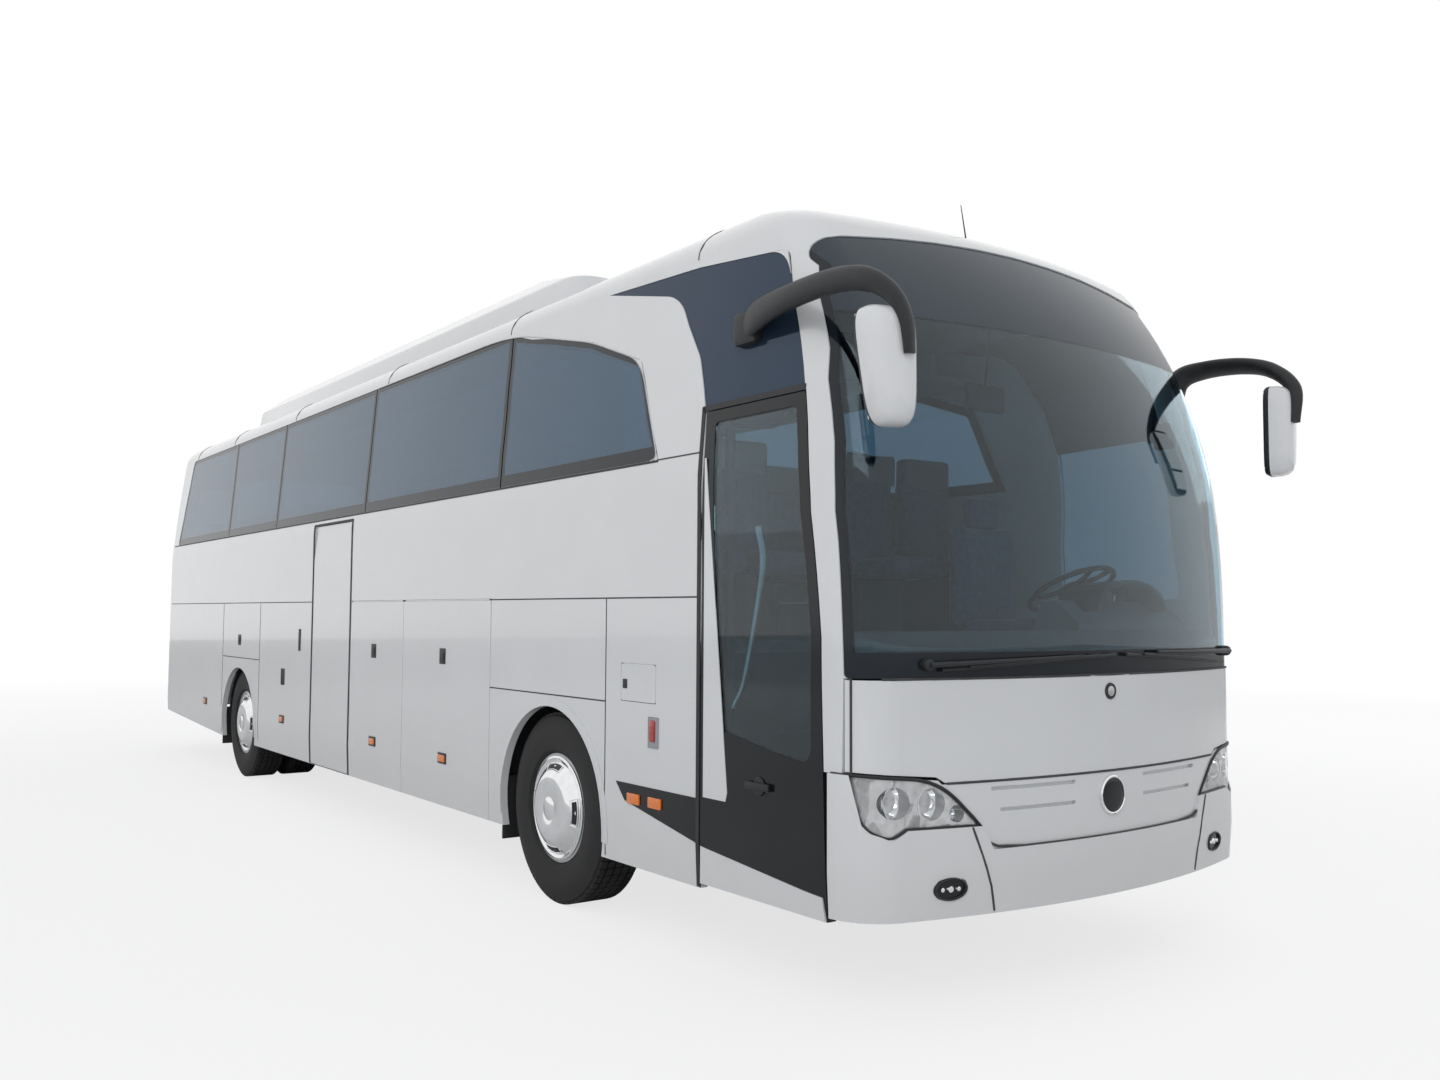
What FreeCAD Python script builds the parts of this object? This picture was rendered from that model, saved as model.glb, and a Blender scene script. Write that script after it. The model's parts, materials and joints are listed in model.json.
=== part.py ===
import FreeCAD, Part

import math
import os

import Sketcher
from FreeCAD import Placement, Rotation, Vector

# A twelve-metre touring coach. +X is forward, +Y is the driver's side, +Z is up, and the road is z = 0.
# Sizes are millimetres. "Ahead" and "behind" are counted from the front axle.

doc = FreeCAD.newDocument("coach")
sheet = doc.addObject("Spreadsheet::Sheet", "Sizes")

SIZES = {
    # overall body
    "axle_ahead_of_origin": 3321.6,
    "half_width": 1275,
    "front_reach": 2668,
    "rear_reach": 9475,
    "skirt_low": 345,
    "belt_height": 1320,
    "glass_lean_from": 2200,
    "roof_edge_height": 3250,
    "roof_height": 3450,
    "front_rake": 498,
    "rear_rake": 225,
    "side_lean": 85,
    "roof_shoulder": 330,
    "front_dome": 516,
    "rear_dome": 420,
    "tuck_height": 560,
    "tuck_side": 25,
    "tuck_end": 40,
    "front_arc_radius": 4100,
    "rear_arc_radius": 9000,
    "front_corner": 230,
    "rear_corner": 300,
    "wall": 40,
    "glass_thick": 10,
    "glass_recess": 5,
    "frame_thick": 35,
    "moving_gap": 6,
    "seat_gap": 0.3,
    # side layout, ahead of the front axle where positive
    "seam_height": 1643,
    "window_low": 2305,
    "window_top": 3235,
    "window_rear": -8890,
    "window_front": 1040,
    "arch_panel_rear": -700,
    "door_rear": 1420,
    "door_front_low": 2292,
    "door_front_high": 2130,
    "door_top": 2490,
    "door_low": 362,
    "door_thick": 45,
    "mid_door_rear": -4040,
    "mid_door_front": -3170,
    "mid_door_top": 2250,
    "flap_split_front": -740,
    "flap_split_mid": -2105,
    "panel_split_rear": -5520,
    "rear_panel_split": -6800,
    "pillar_low": 2370,
    "pillar_mid": 2300,
    "pillar_high": 2090,
    "header_height": 3250,
    "header_x": 2170,
    "header_slope": 0.725,
    "rear_skirt_rise": 110,
    # wheels and running gear
    "wheelbase": 6200,
    "tyre_radius": 512,
    "tyre_width": 296,
    "rim_radius": 292,
    "front_wheel_y": 1092,
    "rear_outer_y": 1076,
    "twin_spacing": 336,
    "front_arch_radius": 572,
    "rear_arch_radius": 560,
    "arch_height": 490,
    "kingpin_y": 890,
    "kingpin_radius": 26,
    # floors
    "floor_top": 1440,
    "floor_thick": 60,
    "platform_top": 1010,
    "sill_height": 40,
    "luggage_floor_top": 470,
    "luggage_floor_thick": 60,
    "frame_half_width": 470,
}


class Length:
    """A number from the sheet together with the formula that gives it."""

    def __init__(self, value, formula):
        self.value = float(value)
        self.formula = formula

    def _join(self, other, sign, value):
        return Length(value, f"({self.formula} {sign} {other.formula})")

    def __add__(self, other):
        other = as_length(other)
        return self._join(other, "+", self.value + other.value)

    def __radd__(self, other):
        return as_length(other) + self

    def __sub__(self, other):
        other = as_length(other)
        return self._join(other, "-", self.value - other.value)

    def __rsub__(self, other):
        return as_length(other) - self

    def __mul__(self, factor):
        other = as_length(factor)
        return self._join(other, "*", self.value * other.value)

    __rmul__ = __mul__

    def __truediv__(self, divisor):
        other = as_length(divisor)
        return self._join(other, "/", self.value / other.value)

    def __neg__(self):
        return Length(-self.value, f"(0 - {self.formula})")


def as_length(value):
    return value if isinstance(value, Length) else Length(value, f"({value:.6g})")


class Sizes:
    """Every named size as a Length, read as an attribute."""


def fill_sheet():
    named = Sizes()
    for row, (name, value) in enumerate(SIZES.items(), start=1):
        sheet.set(f"A{row}", name)
        sheet.set(f"B{row}", str(value))
        sheet.setAlias(f"B{row}", name)
        setattr(named, name, Length(value, f"Sizes.{name}"))
    return named


s = fill_sheet()
doc.recompute()


def ahead(distance):
    """The x of a point that lies this far ahead of the front axle."""
    return s.axle_ahead_of_origin + distance


rear_axle_x = ahead(-s.wheelbase)


def bind(obj, prop, value):
    """Sets a property, through the sheet where the value is a Length."""
    if isinstance(value, Length):
        obj.setExpression(prop, value.formula)
    elif prop.startswith("."):
        obj.setExpression(prop, f"{value}")
    else:
        setattr(obj, prop, value)


def box(label, x, y, z):
    """A block between two lengths on each axis."""
    block = doc.addObject("Part::Box", label)
    for side, axis, (low, high) in zip(("Length", "Width", "Height"), "xyz", (x, y, z)):
        bind(block, side, as_length(high) - low)
        bind(block, f".Placement.Base.{axis}", as_length(low))
    return block


def place(obj, x=0, y=0, z=0):
    for axis, value in zip("xyz", (x, y, z)):
        bind(obj, f".Placement.Base.{axis}", as_length(value))
    return obj


def cylinder(label, radius, length, centre, along):
    """A cylinder whose middle is at the centre, along the axis named x, y or z."""
    rod = doc.addObject("Part::Cylinder", label)
    bind(rod, "Radius", as_length(radius))
    bind(rod, "Height", as_length(length))
    turn = {"x": Rotation(Vector(0, 1, 0), 90), "y": Rotation(Vector(1, 0, 0), -90), "z": Rotation()}[along]
    rod.Placement = Placement(Vector(), turn)
    start = [as_length(value) for value in centre]
    start["xyz".index(along)] = start["xyz".index(along)] - as_length(length) / 2
    return place(rod, *start)


def cut(label, base, tools):
    if len(tools) > 1:
        tool = fuse(f"{label}_cutters", tools)
    else:
        tool = tools[0]
    result = doc.addObject("Part::Cut", label)
    result.Base = base
    result.Tool = tool
    return result


def fuse(label, shapes):
    result = doc.addObject("Part::MultiFuse", label)
    result.Shapes = shapes
    return result


def gather(label, shapes):
    """Like pieces that don't touch, kept together as one node."""
    result = doc.addObject("Part::Compound", label)
    result.Links = shapes
    return result


def common(label, base, tool):
    result = doc.addObject("Part::Common", label)
    result.Base = base
    result.Tool = tool
    return result


def feature(label, shape):
    result = doc.addObject("Part::Feature", label)
    result.Shape = shape
    return result


def mirrored(label, source):
    """The same piece on the other side of the coach."""
    result = doc.addObject("Part::Mirroring", label)
    result.Source = source
    result.Normal = Vector(0, 1, 0)
    return result


def rounded_wire(corners, to_point):
    """A closed wire through (a, b, radius) corners, each rounded by an arc of its radius."""
    edges = []
    starts, ends = [], []
    count = len(corners)
    for index, (a, b, radius) in enumerate(corners):
        here = Vector(a, b, 0)
        before = Vector(*corners[index - 1][:2], 0) - here
        after = Vector(*corners[(index + 1) % count][:2], 0) - here
        before.normalize()
        after.normalize()
        if radius <= 0:
            starts.append(here)
            ends.append(here)
            continue
        half = before.getAngle(after) / 2
        reach = radius / math.tan(half)
        middle = before + after
        middle.normalize()
        first = here + before * reach
        last = here + after * reach
        top = here + middle * (radius / math.sin(half) - radius)
        edges.append((index, Part.Arc(to_point(first), to_point(top), to_point(last)).toShape()))
        starts.append(first)
        ends.append(last)
    ordered = []
    arcs = dict(edges)
    for index in range(count):
        if index in arcs:
            ordered.append(arcs[index])
        following = (index + 1) % count
        if (ends[index] - starts[following]).Length > 1e-6:
            ordered.append(Part.makeLine(to_point(ends[index]), to_point(starts[following])))
    return Part.Wire(ordered)


def side_prism(label, corners, y_low, y_high):
    """A prism across the coach whose outline is drawn in side view, x ahead of the front axle."""
    shift = s.axle_ahead_of_origin.value
    wire = rounded_wire(corners, lambda p: Vector(p.x + shift, y_low, p.y))
    return feature(label, Part.Face(wire).extrude(Vector(0, y_high - y_low, 0)))


def front_prism(label, corners, x_low, x_high):
    """A prism along the coach whose outline is drawn in front view, as (y, z, radius) corners."""
    wire = rounded_wire(corners, lambda p: Vector(x_low, p.x, p.y))
    return feature(label, Part.Face(wire).extrude(Vector(x_high - x_low, 0, 0)))


# The body's outer surface: plan outlines stacked in height. At every height the ends keep the same arcs,
# and a short straight stretch beside the corner takes up the change in width.


def level(height, inset):
    """Half width, front reach and rear reach of the body at a height."""
    edge = s.roof_edge_height.value
    climb = edge - s.belt_height.value
    leaning = min(max((height - s.belt_height.value) / climb, 0), 1) ** 3
    over = max(height - edge, 0)
    share = min(over / (s.roof_height.value - edge), 1)
    curl = 1 - math.sqrt(max(1 - share * share, 0))
    low = max(s.tuck_height.value - height, 0) / s.tuck_height.value
    rake = leaning + 3 * over / climb
    front = s.front_reach.value - s.front_rake.value * rake - s.front_dome.value * curl
    rear = s.rear_reach.value - s.rear_rake.value * rake - s.rear_dome.value * curl
    lean_run = edge - s.glass_lean_from.value
    lean = s.side_lean.value * max(height - s.glass_lean_from.value, 0) / lean_run
    half = s.half_width.value - lean - s.roof_shoulder.value * curl
    half -= s.tuck_side.value * low
    front -= s.tuck_end.value * low
    rear -= s.tuck_end.value * low
    return half - inset, front - inset, rear - inset


def end_shape(height, inset, reach_index):
    """Arc radius, corner radius and meeting angle of the front (1) or rear (2) end at a height."""
    radius, corner = (
        (s.front_arc_radius.value, s.front_corner.value),
        (s.rear_arc_radius.value, s.rear_corner.value),
    )[reach_index - 1]
    edge_half = level(s.roof_edge_height.value, 0)[0]
    angle = math.asin((edge_half - 1 - corner) / (radius - corner))
    if height > s.roof_edge_height.value:
        share = (level(height, 0)[0] - corner) / (edge_half - corner)
        radius = (radius - corner) * share + corner
    return radius - inset, corner - inset, angle


def end_points(height, inset, reach_index):
    """The corner arc's centre and the end arc's centre of one end, for the side with y above zero."""
    half, *reaches = level(height, inset)
    radius, corner, angle = end_shape(height, inset, reach_index)
    arc_centre = reaches[reach_index - 1] - radius
    corner_y = half - corner
    slide = corner_y - (radius - corner) * math.sin(angle)
    corner_x = arc_centre + (radius - corner) * math.cos(angle) - slide * math.tan(angle)
    return arc_centre, (corner_x, corner_y)


def arc_points(centre, radius, start, stop, chords):
    """Points in plan on an arc, one more than the chords that stand for it."""
    angles = [start + (stop - start) * step / chords for step in range(chords + 1)]
    return [(centre[0] + radius * math.cos(turn), centre[1] + radius * math.sin(turn)) for turn in angles]


def panelled(label, rings):
    """A closed solid of flat faces between like rings of points, stacked in order."""
    faces = [Part.Face(Part.makePolygon(ring + ring[:1])) for ring in (rings[0], rings[-1])]
    for low, high in zip(rings, rings[1:]):
        for index in range(len(low)):
            after = (index + 1) % len(low)
            corners = [low[index], low[after], high[after], high[index], low[index]]
            faces.append(Part.Face(Part.makePolygon(corners)))
    solid = Part.Solid(Part.Shell(faces))
    if solid.Volume < 0:
        solid.reverse()
    return feature(label, solid.removeSplitter())


SKIN_CHORDS = (8, 4)
WALL_CHORDS = (4, 3)


def plan_outline(height, at_height, inset, chords):
    """Half the ring is worked out for y above zero at both ends, and the rest is its mirror image."""
    end_chords, corner_chords = chords
    left_side = []
    for end, reach_index in ((1, 1), (-1, 2)):
        radius, corner, angle = end_shape(height, inset, reach_index)
        arc_centre, corner_centre = end_points(height, inset, reach_index)
        face = arc_points((arc_centre, 0), radius, 0, angle, end_chords // 2)
        turn = arc_points(corner_centre, corner, angle, math.pi / 2, corner_chords)
        points = [(end * x, y) for x, y in face[1:] + turn]
        left_side += points if end > 0 else points[::-1]
    shift = s.axle_ahead_of_origin.value
    nose = level(height, inset)[1]
    tail = -level(height, inset)[2]
    right_side = [(x, -y) for x, y in reversed(left_side)]
    ring = [(nose, 0)] + left_side + [(tail, 0)] + right_side
    return [Vector(shift + x, y, at_height) for x, y in ring]


def hull(label, inset, chords=SKIN_CHORDS):
    """The body as a closed solid, its surface this far inside the outer skin."""
    edge = s.roof_edge_height.value
    belt = s.belt_height.value
    straight = [200, s.tuck_height.value, belt]
    leaning = [belt + (edge - belt) * share for share in (0.34, 0.62, 0.82, 1.0)]
    shoulder = [edge + (s.roof_height.value - edge) * math.sin(math.radians(turn)) for turn in (30, 60, 90)]
    rings = []
    for height in straight + leaning + shoulder:
        drop = inset * max(height - belt, 0) / (s.roof_height.value - belt)
        rings.append(plan_outline(height, height - drop, inset, chords))
    return panelled(label, rings)


def band(label, outer, inner, chords=WALL_CHORDS):
    """The layer of the body between two insets, its hidden inner face made of fewer chords."""
    return cut(label, hull(f"{label}_outside", outer), [hull(f"{label}_inside", inner, chords)])


# Outlines in side view, as (ahead, height, corner radius)

FAR_SIDE = 1700
FAR_AHEAD = 3000
FAR_BEHIND = -9800
ABOVE_ROOF = 4000


def both_sides(label, corners):
    return side_prism(label, corners, -FAR_SIDE, FAR_SIDE)


def right_prism(label, corners):
    return side_prism(label, corners, -FAR_SIDE, -200)


def left_prism(label, corners):
    return side_prism(label, corners, 200, FAR_SIDE)


def rectangle(behind, front, low, high, radius=0):
    return [(behind, low, radius), (front, low, radius), (front, high, radius), (behind, high, radius)]


def shrunk(corners, gap):
    """The same outline with every edge moved inwards by the gap."""
    result = []
    count = len(corners)
    area = 0
    for index, corner in enumerate(corners):
        area += corners[index - 1][0] * corner[1] - corner[0] * corners[index - 1][1]
    turn = 1 if area > 0 else -1
    for index, (a, b, radius) in enumerate(corners):
        before = corners[index - 1]
        after = corners[(index + 1) % count]
        first = Vector(a - before[0], b - before[1], 0).normalize()
        second = Vector(after[0] - a, after[1] - b, 0).normalize()
        normal_first = Vector(-first.y, first.x, 0) * turn
        normal_second = Vector(-second.y, second.x, 0) * turn
        middle = normal_first + normal_second
        reach = 2 * gap / middle.Length**2
        result.append((a + middle.x * reach, b + middle.y * reach, max(radius - gap, 0) if radius else 0))
    return result


door_front_x = [
    (s.door_front_low.value, 300),
    (2252, 1475),
    (s.door_front_high.value, s.door_top.value),
    (1945, 3130),
]


def door_front_at(height):
    """Where the front edge of the doorway is at a height."""
    for (x_low, z_low), (x_high, z_high) in zip(door_front_x, door_front_x[1:]):
        if height <= z_high:
            return x_low + (x_high - x_low) * (height - z_low) / (z_high - z_low)
    return door_front_x[-1][0]


LAMP_TOP_SIDE = 950
windscreen_outline = [
    (s.pillar_low.value, s.belt_height.value, 20),
    (FAR_AHEAD, s.belt_height.value, 0),
    (FAR_AHEAD, s.header_height.value + s.header_slope.value * (FAR_AHEAD - s.header_x.value), 0),
    (1985, s.header_height.value - s.header_slope.value * (s.header_x.value - 1985), 70),
    (s.pillar_high.value, 3030, 0),
    (2225, 2650, 0),
    (s.pillar_mid.value, 2250, 0),
    (2338, 1850, 0),
]
front_frame_outline = [
    (1280, 3200, 0),
    (1945, 3130, 60),
    (s.door_front_high.value, s.door_top.value, 0),
    (door_front_at(1475), 1475, 0),
    (door_front_at(LAMP_TOP_SIDE), LAMP_TOP_SIDE, 0),
    (s.pillar_low.value - 6, LAMP_TOP_SIDE, 0),
    (s.pillar_low.value, s.belt_height.value, 0),
    (FAR_AHEAD, s.belt_height.value, 0),
    (FAR_AHEAD, ABOVE_ROOF, 0),
    (1280, ABOVE_ROOF, 0),
]
arch_outline = [
    (s.arch_panel_rear.value, s.window_top.value, 0),
    (-420, 3160, 0),
    (-120, 3110, 0),
    (300, 3015, 0),
    (820, 2830, 60),
    (s.window_front.value, s.window_low.value, 0),
    (s.door_rear.value, s.window_low.value, 0),
    (s.door_rear.value, s.door_top.value, 0),
    (1330, 2760, 200),
    (1120, 3090, 260),
    (450, 3240, 0),
    (-150, 3370, 0),
    (s.arch_panel_rear.value, 3400, 0),
]
window_outline = [
    (s.window_rear.value, s.window_low.value, 30),
    (s.window_front.value, s.window_low.value, 30),
    (820, 2830, 60),
    (300, 3015, 0),
    (-120, 3110, 0),
    (-420, 3160, 0),
    (s.arch_panel_rear.value, s.window_top.value, 0),
    (-8570, s.window_top.value, 30),
]
quarter_outline = [
    (s.door_rear.value, s.door_top.value, 0),
    (s.door_front_high.value, s.door_top.value, 0),
    (1945, 3130, 60),
    (1280, 3200, 0),
    (450, 3240, 0),
    (450, 3100, 0),
]
roof_outline = [
    (FAR_BEHIND, s.window_top.value, 0),
    (s.arch_panel_rear.value, s.window_top.value, 0),
    (s.arch_panel_rear.value, 3400, 0),
    (-150, 3370, 0),
    (450, 3240, 0),
    (1280, 3200, 0),
    (1280, ABOVE_ROOF, 0),
    (FAR_BEHIND, ABOVE_ROOF, 0),
]
front_door_outline = [
    (s.door_rear.value, s.door_low.value, 0),
    (door_front_at(s.door_low.value), s.door_low.value, 0),
    (door_front_at(1475), 1475, 0),
    (s.door_front_high.value, s.door_top.value, 20),
    (s.door_rear.value, s.door_top.value, 20),
]
mid_door_outline = rectangle(
    s.mid_door_rear.value, s.mid_door_front.value, s.door_low.value - 10, s.mid_door_top.value, 10
)
REAR_PANEL_X = -9100


def skirt_at(x):
    """The height of the skirt's lower edge, which rises behind the rear axle."""
    rise_from = s.rear_panel_split.value
    share = max(rise_from - x, 0) / (rise_from + s.rear_reach.value)
    return s.skirt_low.value + s.rear_skirt_rise.value * share


fixed_side_outline = [
    (REAR_PANEL_X, skirt_at(REAR_PANEL_X), 0),
    (s.rear_panel_split.value, s.skirt_low.value, 0),
    (s.door_rear.value, s.skirt_low.value, 0),
    (s.door_rear.value, s.window_low.value, 0),
    (s.window_front.value, s.window_low.value, 0),
    (s.window_rear.value, s.window_low.value, 0),
    (-8570, s.window_top.value, 0),
    (REAR_PANEL_X, s.window_top.value, 0),
]

skin = band("skin", 0, s.wall.value)
thin_skin = band("thin_skin", 0, 12, SKIN_CHORDS)
glass_inset = s.glass_recess.value + s.glass_thick.value
glass_layer = band("glass_layer", s.glass_recess.value, glass_inset, SKIN_CHORDS)
frame_layer = band("frame_layer", glass_inset, glass_inset + s.frame_thick.value)

nodes = {}


def node(obj):
    nodes[obj.Label] = obj
    return obj


# Roof, front frame and glass

roof_hatch_size = 640
hatch_places = {"front": 600, "rear": -8150}
hatch_holes = [
    box(
        f"hatch_hole_{name}",
        (ahead(middle - roof_hatch_size / 2 + 40), ahead(middle + roof_hatch_size / 2 - 40)),
        (-roof_hatch_size / 2 + 40, roof_hatch_size / 2 - 40),
        (s.roof_height - 200, s.roof_height + 100),
    )
    for name, middle in hatch_places.items()
]
roof_panel = common("roof_panel", skin, both_sides("roof_prism", roof_outline))
node(cut("roof_shell", roof_panel, hatch_holes))
windscreen_prism = both_sides("windscreen_prism", windscreen_outline)
front_frame_block = common("front_frame_block", skin, both_sides("front_frame_prism", front_frame_outline))
node(cut("front_frame", front_frame_block, [windscreen_prism]))
node(common("windscreen", glass_layer, windscreen_prism))

arch_pieces = [
    common(f"arch_panel_{side}", skin, prism(f"arch_prism_{side}", arch_outline))
    for side, prism in (("right", right_prism), ("left", left_prism))
]
node(gather("arch_panels", arch_pieces))

quarter_panes = []
arch_both = both_sides("arch_prism_both", arch_outline)
for side, prism in (("right", right_prism), ("left", left_prism)):
    pane = common(f"quarter_pane_{side}", glass_layer, prism(f"quarter_prism_{side}", quarter_outline))
    quarter_panes.append(cut(f"quarter_glass_{side}", pane, [arch_both]))
driver_window = [
    (s.door_rear.value + 12, s.seam_height.value + 12, 40),
    (door_front_at(s.seam_height.value) - 45, s.seam_height.value + 12, 40),
    (s.door_front_high.value - 45, s.door_top.value, 0),
    (s.door_rear.value + 12, s.door_top.value, 0),
]
driver_prism = left_prism("driver_window_prism", driver_window)
quarter_panes.append(common("driver_window", glass_layer, driver_prism))

pane_splits = [s.window_rear.value - 200, -6755, -5160, -2940, -680, s.window_front.value + 200]
pane_gap = 14
side_panes = list(quarter_panes)
for side, prism in (("right", right_prism), ("left", left_prism)):
    whole = common(f"side_glass_sheet_{side}", glass_layer, prism(f"window_prism_{side}", window_outline))
    low, high = (-FAR_SIDE, -200) if side == "right" else (200, FAR_SIDE)
    joints = [
        side_prism(
            f"pane_joint_{side}_{count}",
            rectangle(split - pane_gap / 2, split + pane_gap / 2, 2000, 3500),
            low,
            high,
        )
        for count, split in enumerate(pane_splits[1:-1])
    ]
    side_panes.append(cut(f"side_glass_{side}", whole, joints))
node(gather("side_glass", side_panes))

window_frames = []
frame_edge = 55
for side, prism in (("right", right_prism), ("left", left_prism)):
    low, high = (-FAR_SIDE, -200) if side == "right" else (200, FAR_SIDE)
    whole = common(
        f"window_surround_{side}", frame_layer, prism(f"surround_prism_{side}", window_outline)
    )
    openings = []
    for count, (behind, front) in enumerate(zip(pane_splits, pane_splits[1:])):
        outline = rectangle(behind + frame_edge, front - frame_edge, 2000, 3500)
        slot = side_prism(f"pane_slot_{side}_{count}", outline, low, high)
        sight = prism(f"sight_{side}_{count}", shrunk(window_outline, frame_edge))
        openings.append(common(f"pane_hole_{side}_{count}", slot, sight))
    window_frames.append(cut(f"window_frame_{side}", whole, openings))
node(gather("window_frame", window_frames))

# Lower sides, with the flaps and doors that move

front_arch = cylinder(
    "front_arch", s.front_arch_radius, 2 * FAR_SIDE, (ahead(0), 0, s.arch_height), "y"
)
rear_arch = cylinder("rear_arch", s.rear_arch_radius, 2 * FAR_SIDE, (rear_axle_x, 0, s.arch_height - 20), "y")

flap_low = s.skirt_low.value + 6
hinge_radius = 5.7
hinge_edge = hinge_radius - 0.7
FLAPS = {
    "right": {
        "front": (s.flap_split_mid.value, s.flap_split_front.value),
        "middle": (s.mid_door_front.value + 30, s.flap_split_mid.value),
    },
    "left": {
        "front": (-2300, s.flap_split_front.value),
        "middle": (-3900, -2300),
        "rear": (s.panel_split_rear.value, -3900),
    },
}


def side_hinge(label, behind, front, side_sign):
    """The hinge barrel along a flap's top edge, its axis at the outer skin."""
    return cylinder(
        label,
        hinge_radius,
        front - behind - 60,
        (ahead((front + behind) / 2), side_sign * (s.half_width - hinge_radius), s.seam_height),
        "x",
    )


def luggage_flap(side, name, behind, front):
    sign = -1 if side == "right" else 1
    gap = s.moving_gap.value / 2
    outline = rectangle(behind + gap, front - gap, s.skirt_low.value, s.seam_height.value - hinge_edge)
    prism = right_prism if side == "right" else left_prism
    panel = common(f"{side}_{name}_flap_panel", skin, prism(f"{side}_{name}_flap_prism", outline))
    barrel = side_hinge(f"{side}_{name}_hinge", behind, front, sign)
    return fuse(f"luggage_flap_{side}_{name}", [panel, barrel])


fixed_cutters = {"right": [front_arch, rear_arch], "left": [front_arch, rear_arch]}
for side, flaps in FLAPS.items():
    prism = right_prism if side == "right" else left_prism
    for name, (behind, front) in flaps.items():
        node(luggage_flap(side, name, behind, front))
    behind = min(place_of[0] for place_of in flaps.values())
    front = max(place_of[1] for place_of in flaps.values())
    opening = rectangle(
        behind - s.moving_gap.value / 2,
        front + s.moving_gap.value / 2,
        s.skirt_low.value - 50,
        s.seam_height.value + hinge_radius + s.seat_gap.value,
    )
    fixed_cutters[side].append(prism(f"flap_opening_{side}", opening))
fixed_cutters["right"].append(right_prism("mid_door_opening", shrunk(mid_door_outline, -s.moving_gap.value)))

# Fuel flap behind the front door, in an opening whose corners stay clear as its corners swing up

fuel_flap_outline = rectangle(745, 1055, 1140, 1320, 12)
fuel_gap = s.moving_gap.value / 2
fuel_opening = [(a, b, 3) for a, b, radius in shrunk(fuel_flap_outline, -fuel_gap)]
fuel_prism = right_prism("fuel_opening", fuel_opening)
fixed_cutters["right"].append(fuel_prism)
fuel_lid = common("fuel_lid", thin_skin, right_prism("fuel_lid_prism", fuel_flap_outline))
fuel_barrel = cylinder("fuel_hinge", 3, 260, (ahead(900), -(s.half_width - 3), 1319.3), "x")
node(fuse("fuel_flap", [fuel_lid, fuel_barrel]))
fuel_pocket_block = box("fuel_pocket_block", (ahead(730), ahead(1070)), (-1235, -1170), (1125, 1337))
fuel_pocket_hollow = box("fuel_pocket_hollow", (ahead(745), ahead(1055)), (-1240, -1185), (1140, 1322))
fuel_neck = cylinder("fuel_neck", 55, 40, (ahead(900), -1205, 1231), "y")
fuel_pocket = cut("fuel_pocket_shell", fuel_pocket_block, [fuel_pocket_hollow])
fuel_pocket_with_neck = fuse("fuel_pocket", [fuel_pocket, fuel_neck])

side_bodies = []
for side, prism in (("right", right_prism), ("left", left_prism)):
    whole = common(f"side_block_{side}", skin, prism(f"side_prism_{side}", fixed_side_outline))
    body = cut(f"side_skin_{side}", whole, fixed_cutters[side])
    if side == "left":
        nose = [
            (s.door_rear.value, s.skirt_low.value, 0),
            (door_front_at(s.skirt_low.value), s.skirt_low.value, 0),
            (door_front_at(1475), 1475, 0),
            (s.door_front_high.value, s.door_top.value, 0),
            (s.door_rear.value, s.door_top.value, 0),
        ]
        nose_block = common("driver_side_block", skin, left_prism("driver_side_prism", nose))
        body = fuse("side_skin_left_long", [body, cut("driver_side", nose_block, [driver_prism])])
    else:
        body = fuse("side_skin_right_long", [body, fuel_pocket_with_neck])
    side_bodies.append(body)
node(gather("side_panels", side_bodies))

# Passenger doors: a leaf carried on a bent arm that swings out from a post inside the doorway


def arm_bar(label, points, width, low, high):
    """A flat bar along a bent line in plan, mitred at its bends, with a round end at the pin."""
    corners = [Vector(*point, low) for point in points]
    runs = [(after - before).normalize() for before, after in zip(corners, corners[1:])]
    directions = [runs[0]] + [(one + two).normalize() for one, two in zip(runs, runs[1:])] + [runs[-1]]
    edges = {1: [], -1: []}
    for index, (corner, direction) in enumerate(zip(corners, directions)):
        run = runs[min(index, len(runs) - 1)]
        reach = width / 2 / direction.dot(run)
        for side in edges:
            edges[side].append(corner + Vector(-direction.y, direction.x, 0) * (side * reach))
    outline = edges[1] + edges[-1][::-1]
    bar = Part.Face(Part.makePolygon(outline + outline[:1])).extrude(Vector(0, 0, high - low))
    return feature(label, bar.fuse(Part.makeCylinder(width / 2, high - low, corners[-1])))


arm_reach = 450
post_inset = 125
post_from_edge = 62
arm_width = 44
pin_radius = 9
post_radius = 24
lug_height = 40


def door_arm(name, edge, bar_heights, post_low, post_high):
    """The post and its two bent arms, for a doorway whose rear edge is this far ahead."""
    post_x = s.axle_ahead_of_origin.value + edge + post_from_edge
    post_y = -(s.half_width.value - post_inset)
    tip_x = post_x + arm_reach
    post_middle = (post_x, post_y, (post_low + post_high) / 2)
    path = [(post_x, post_y), (post_x + 90, post_y + 150), (post_x + 260, post_y + 110), (tip_x, post_y)]
    pieces = [cylinder(f"{name}_post", post_radius, post_high - post_low, post_middle, "z")]
    for count, height in enumerate(bar_heights):
        pin_middle = (tip_x, post_y, height + 8 + lug_height / 2)
        pieces.append(arm_bar(f"{name}_bar_{count}", path, arm_width, height, height + 16))
        pieces.append(cylinder(f"{name}_pin_{count}", pin_radius, lug_height + 16, pin_middle, "z"))
    return fuse(f"{name}_arm", pieces)


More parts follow.
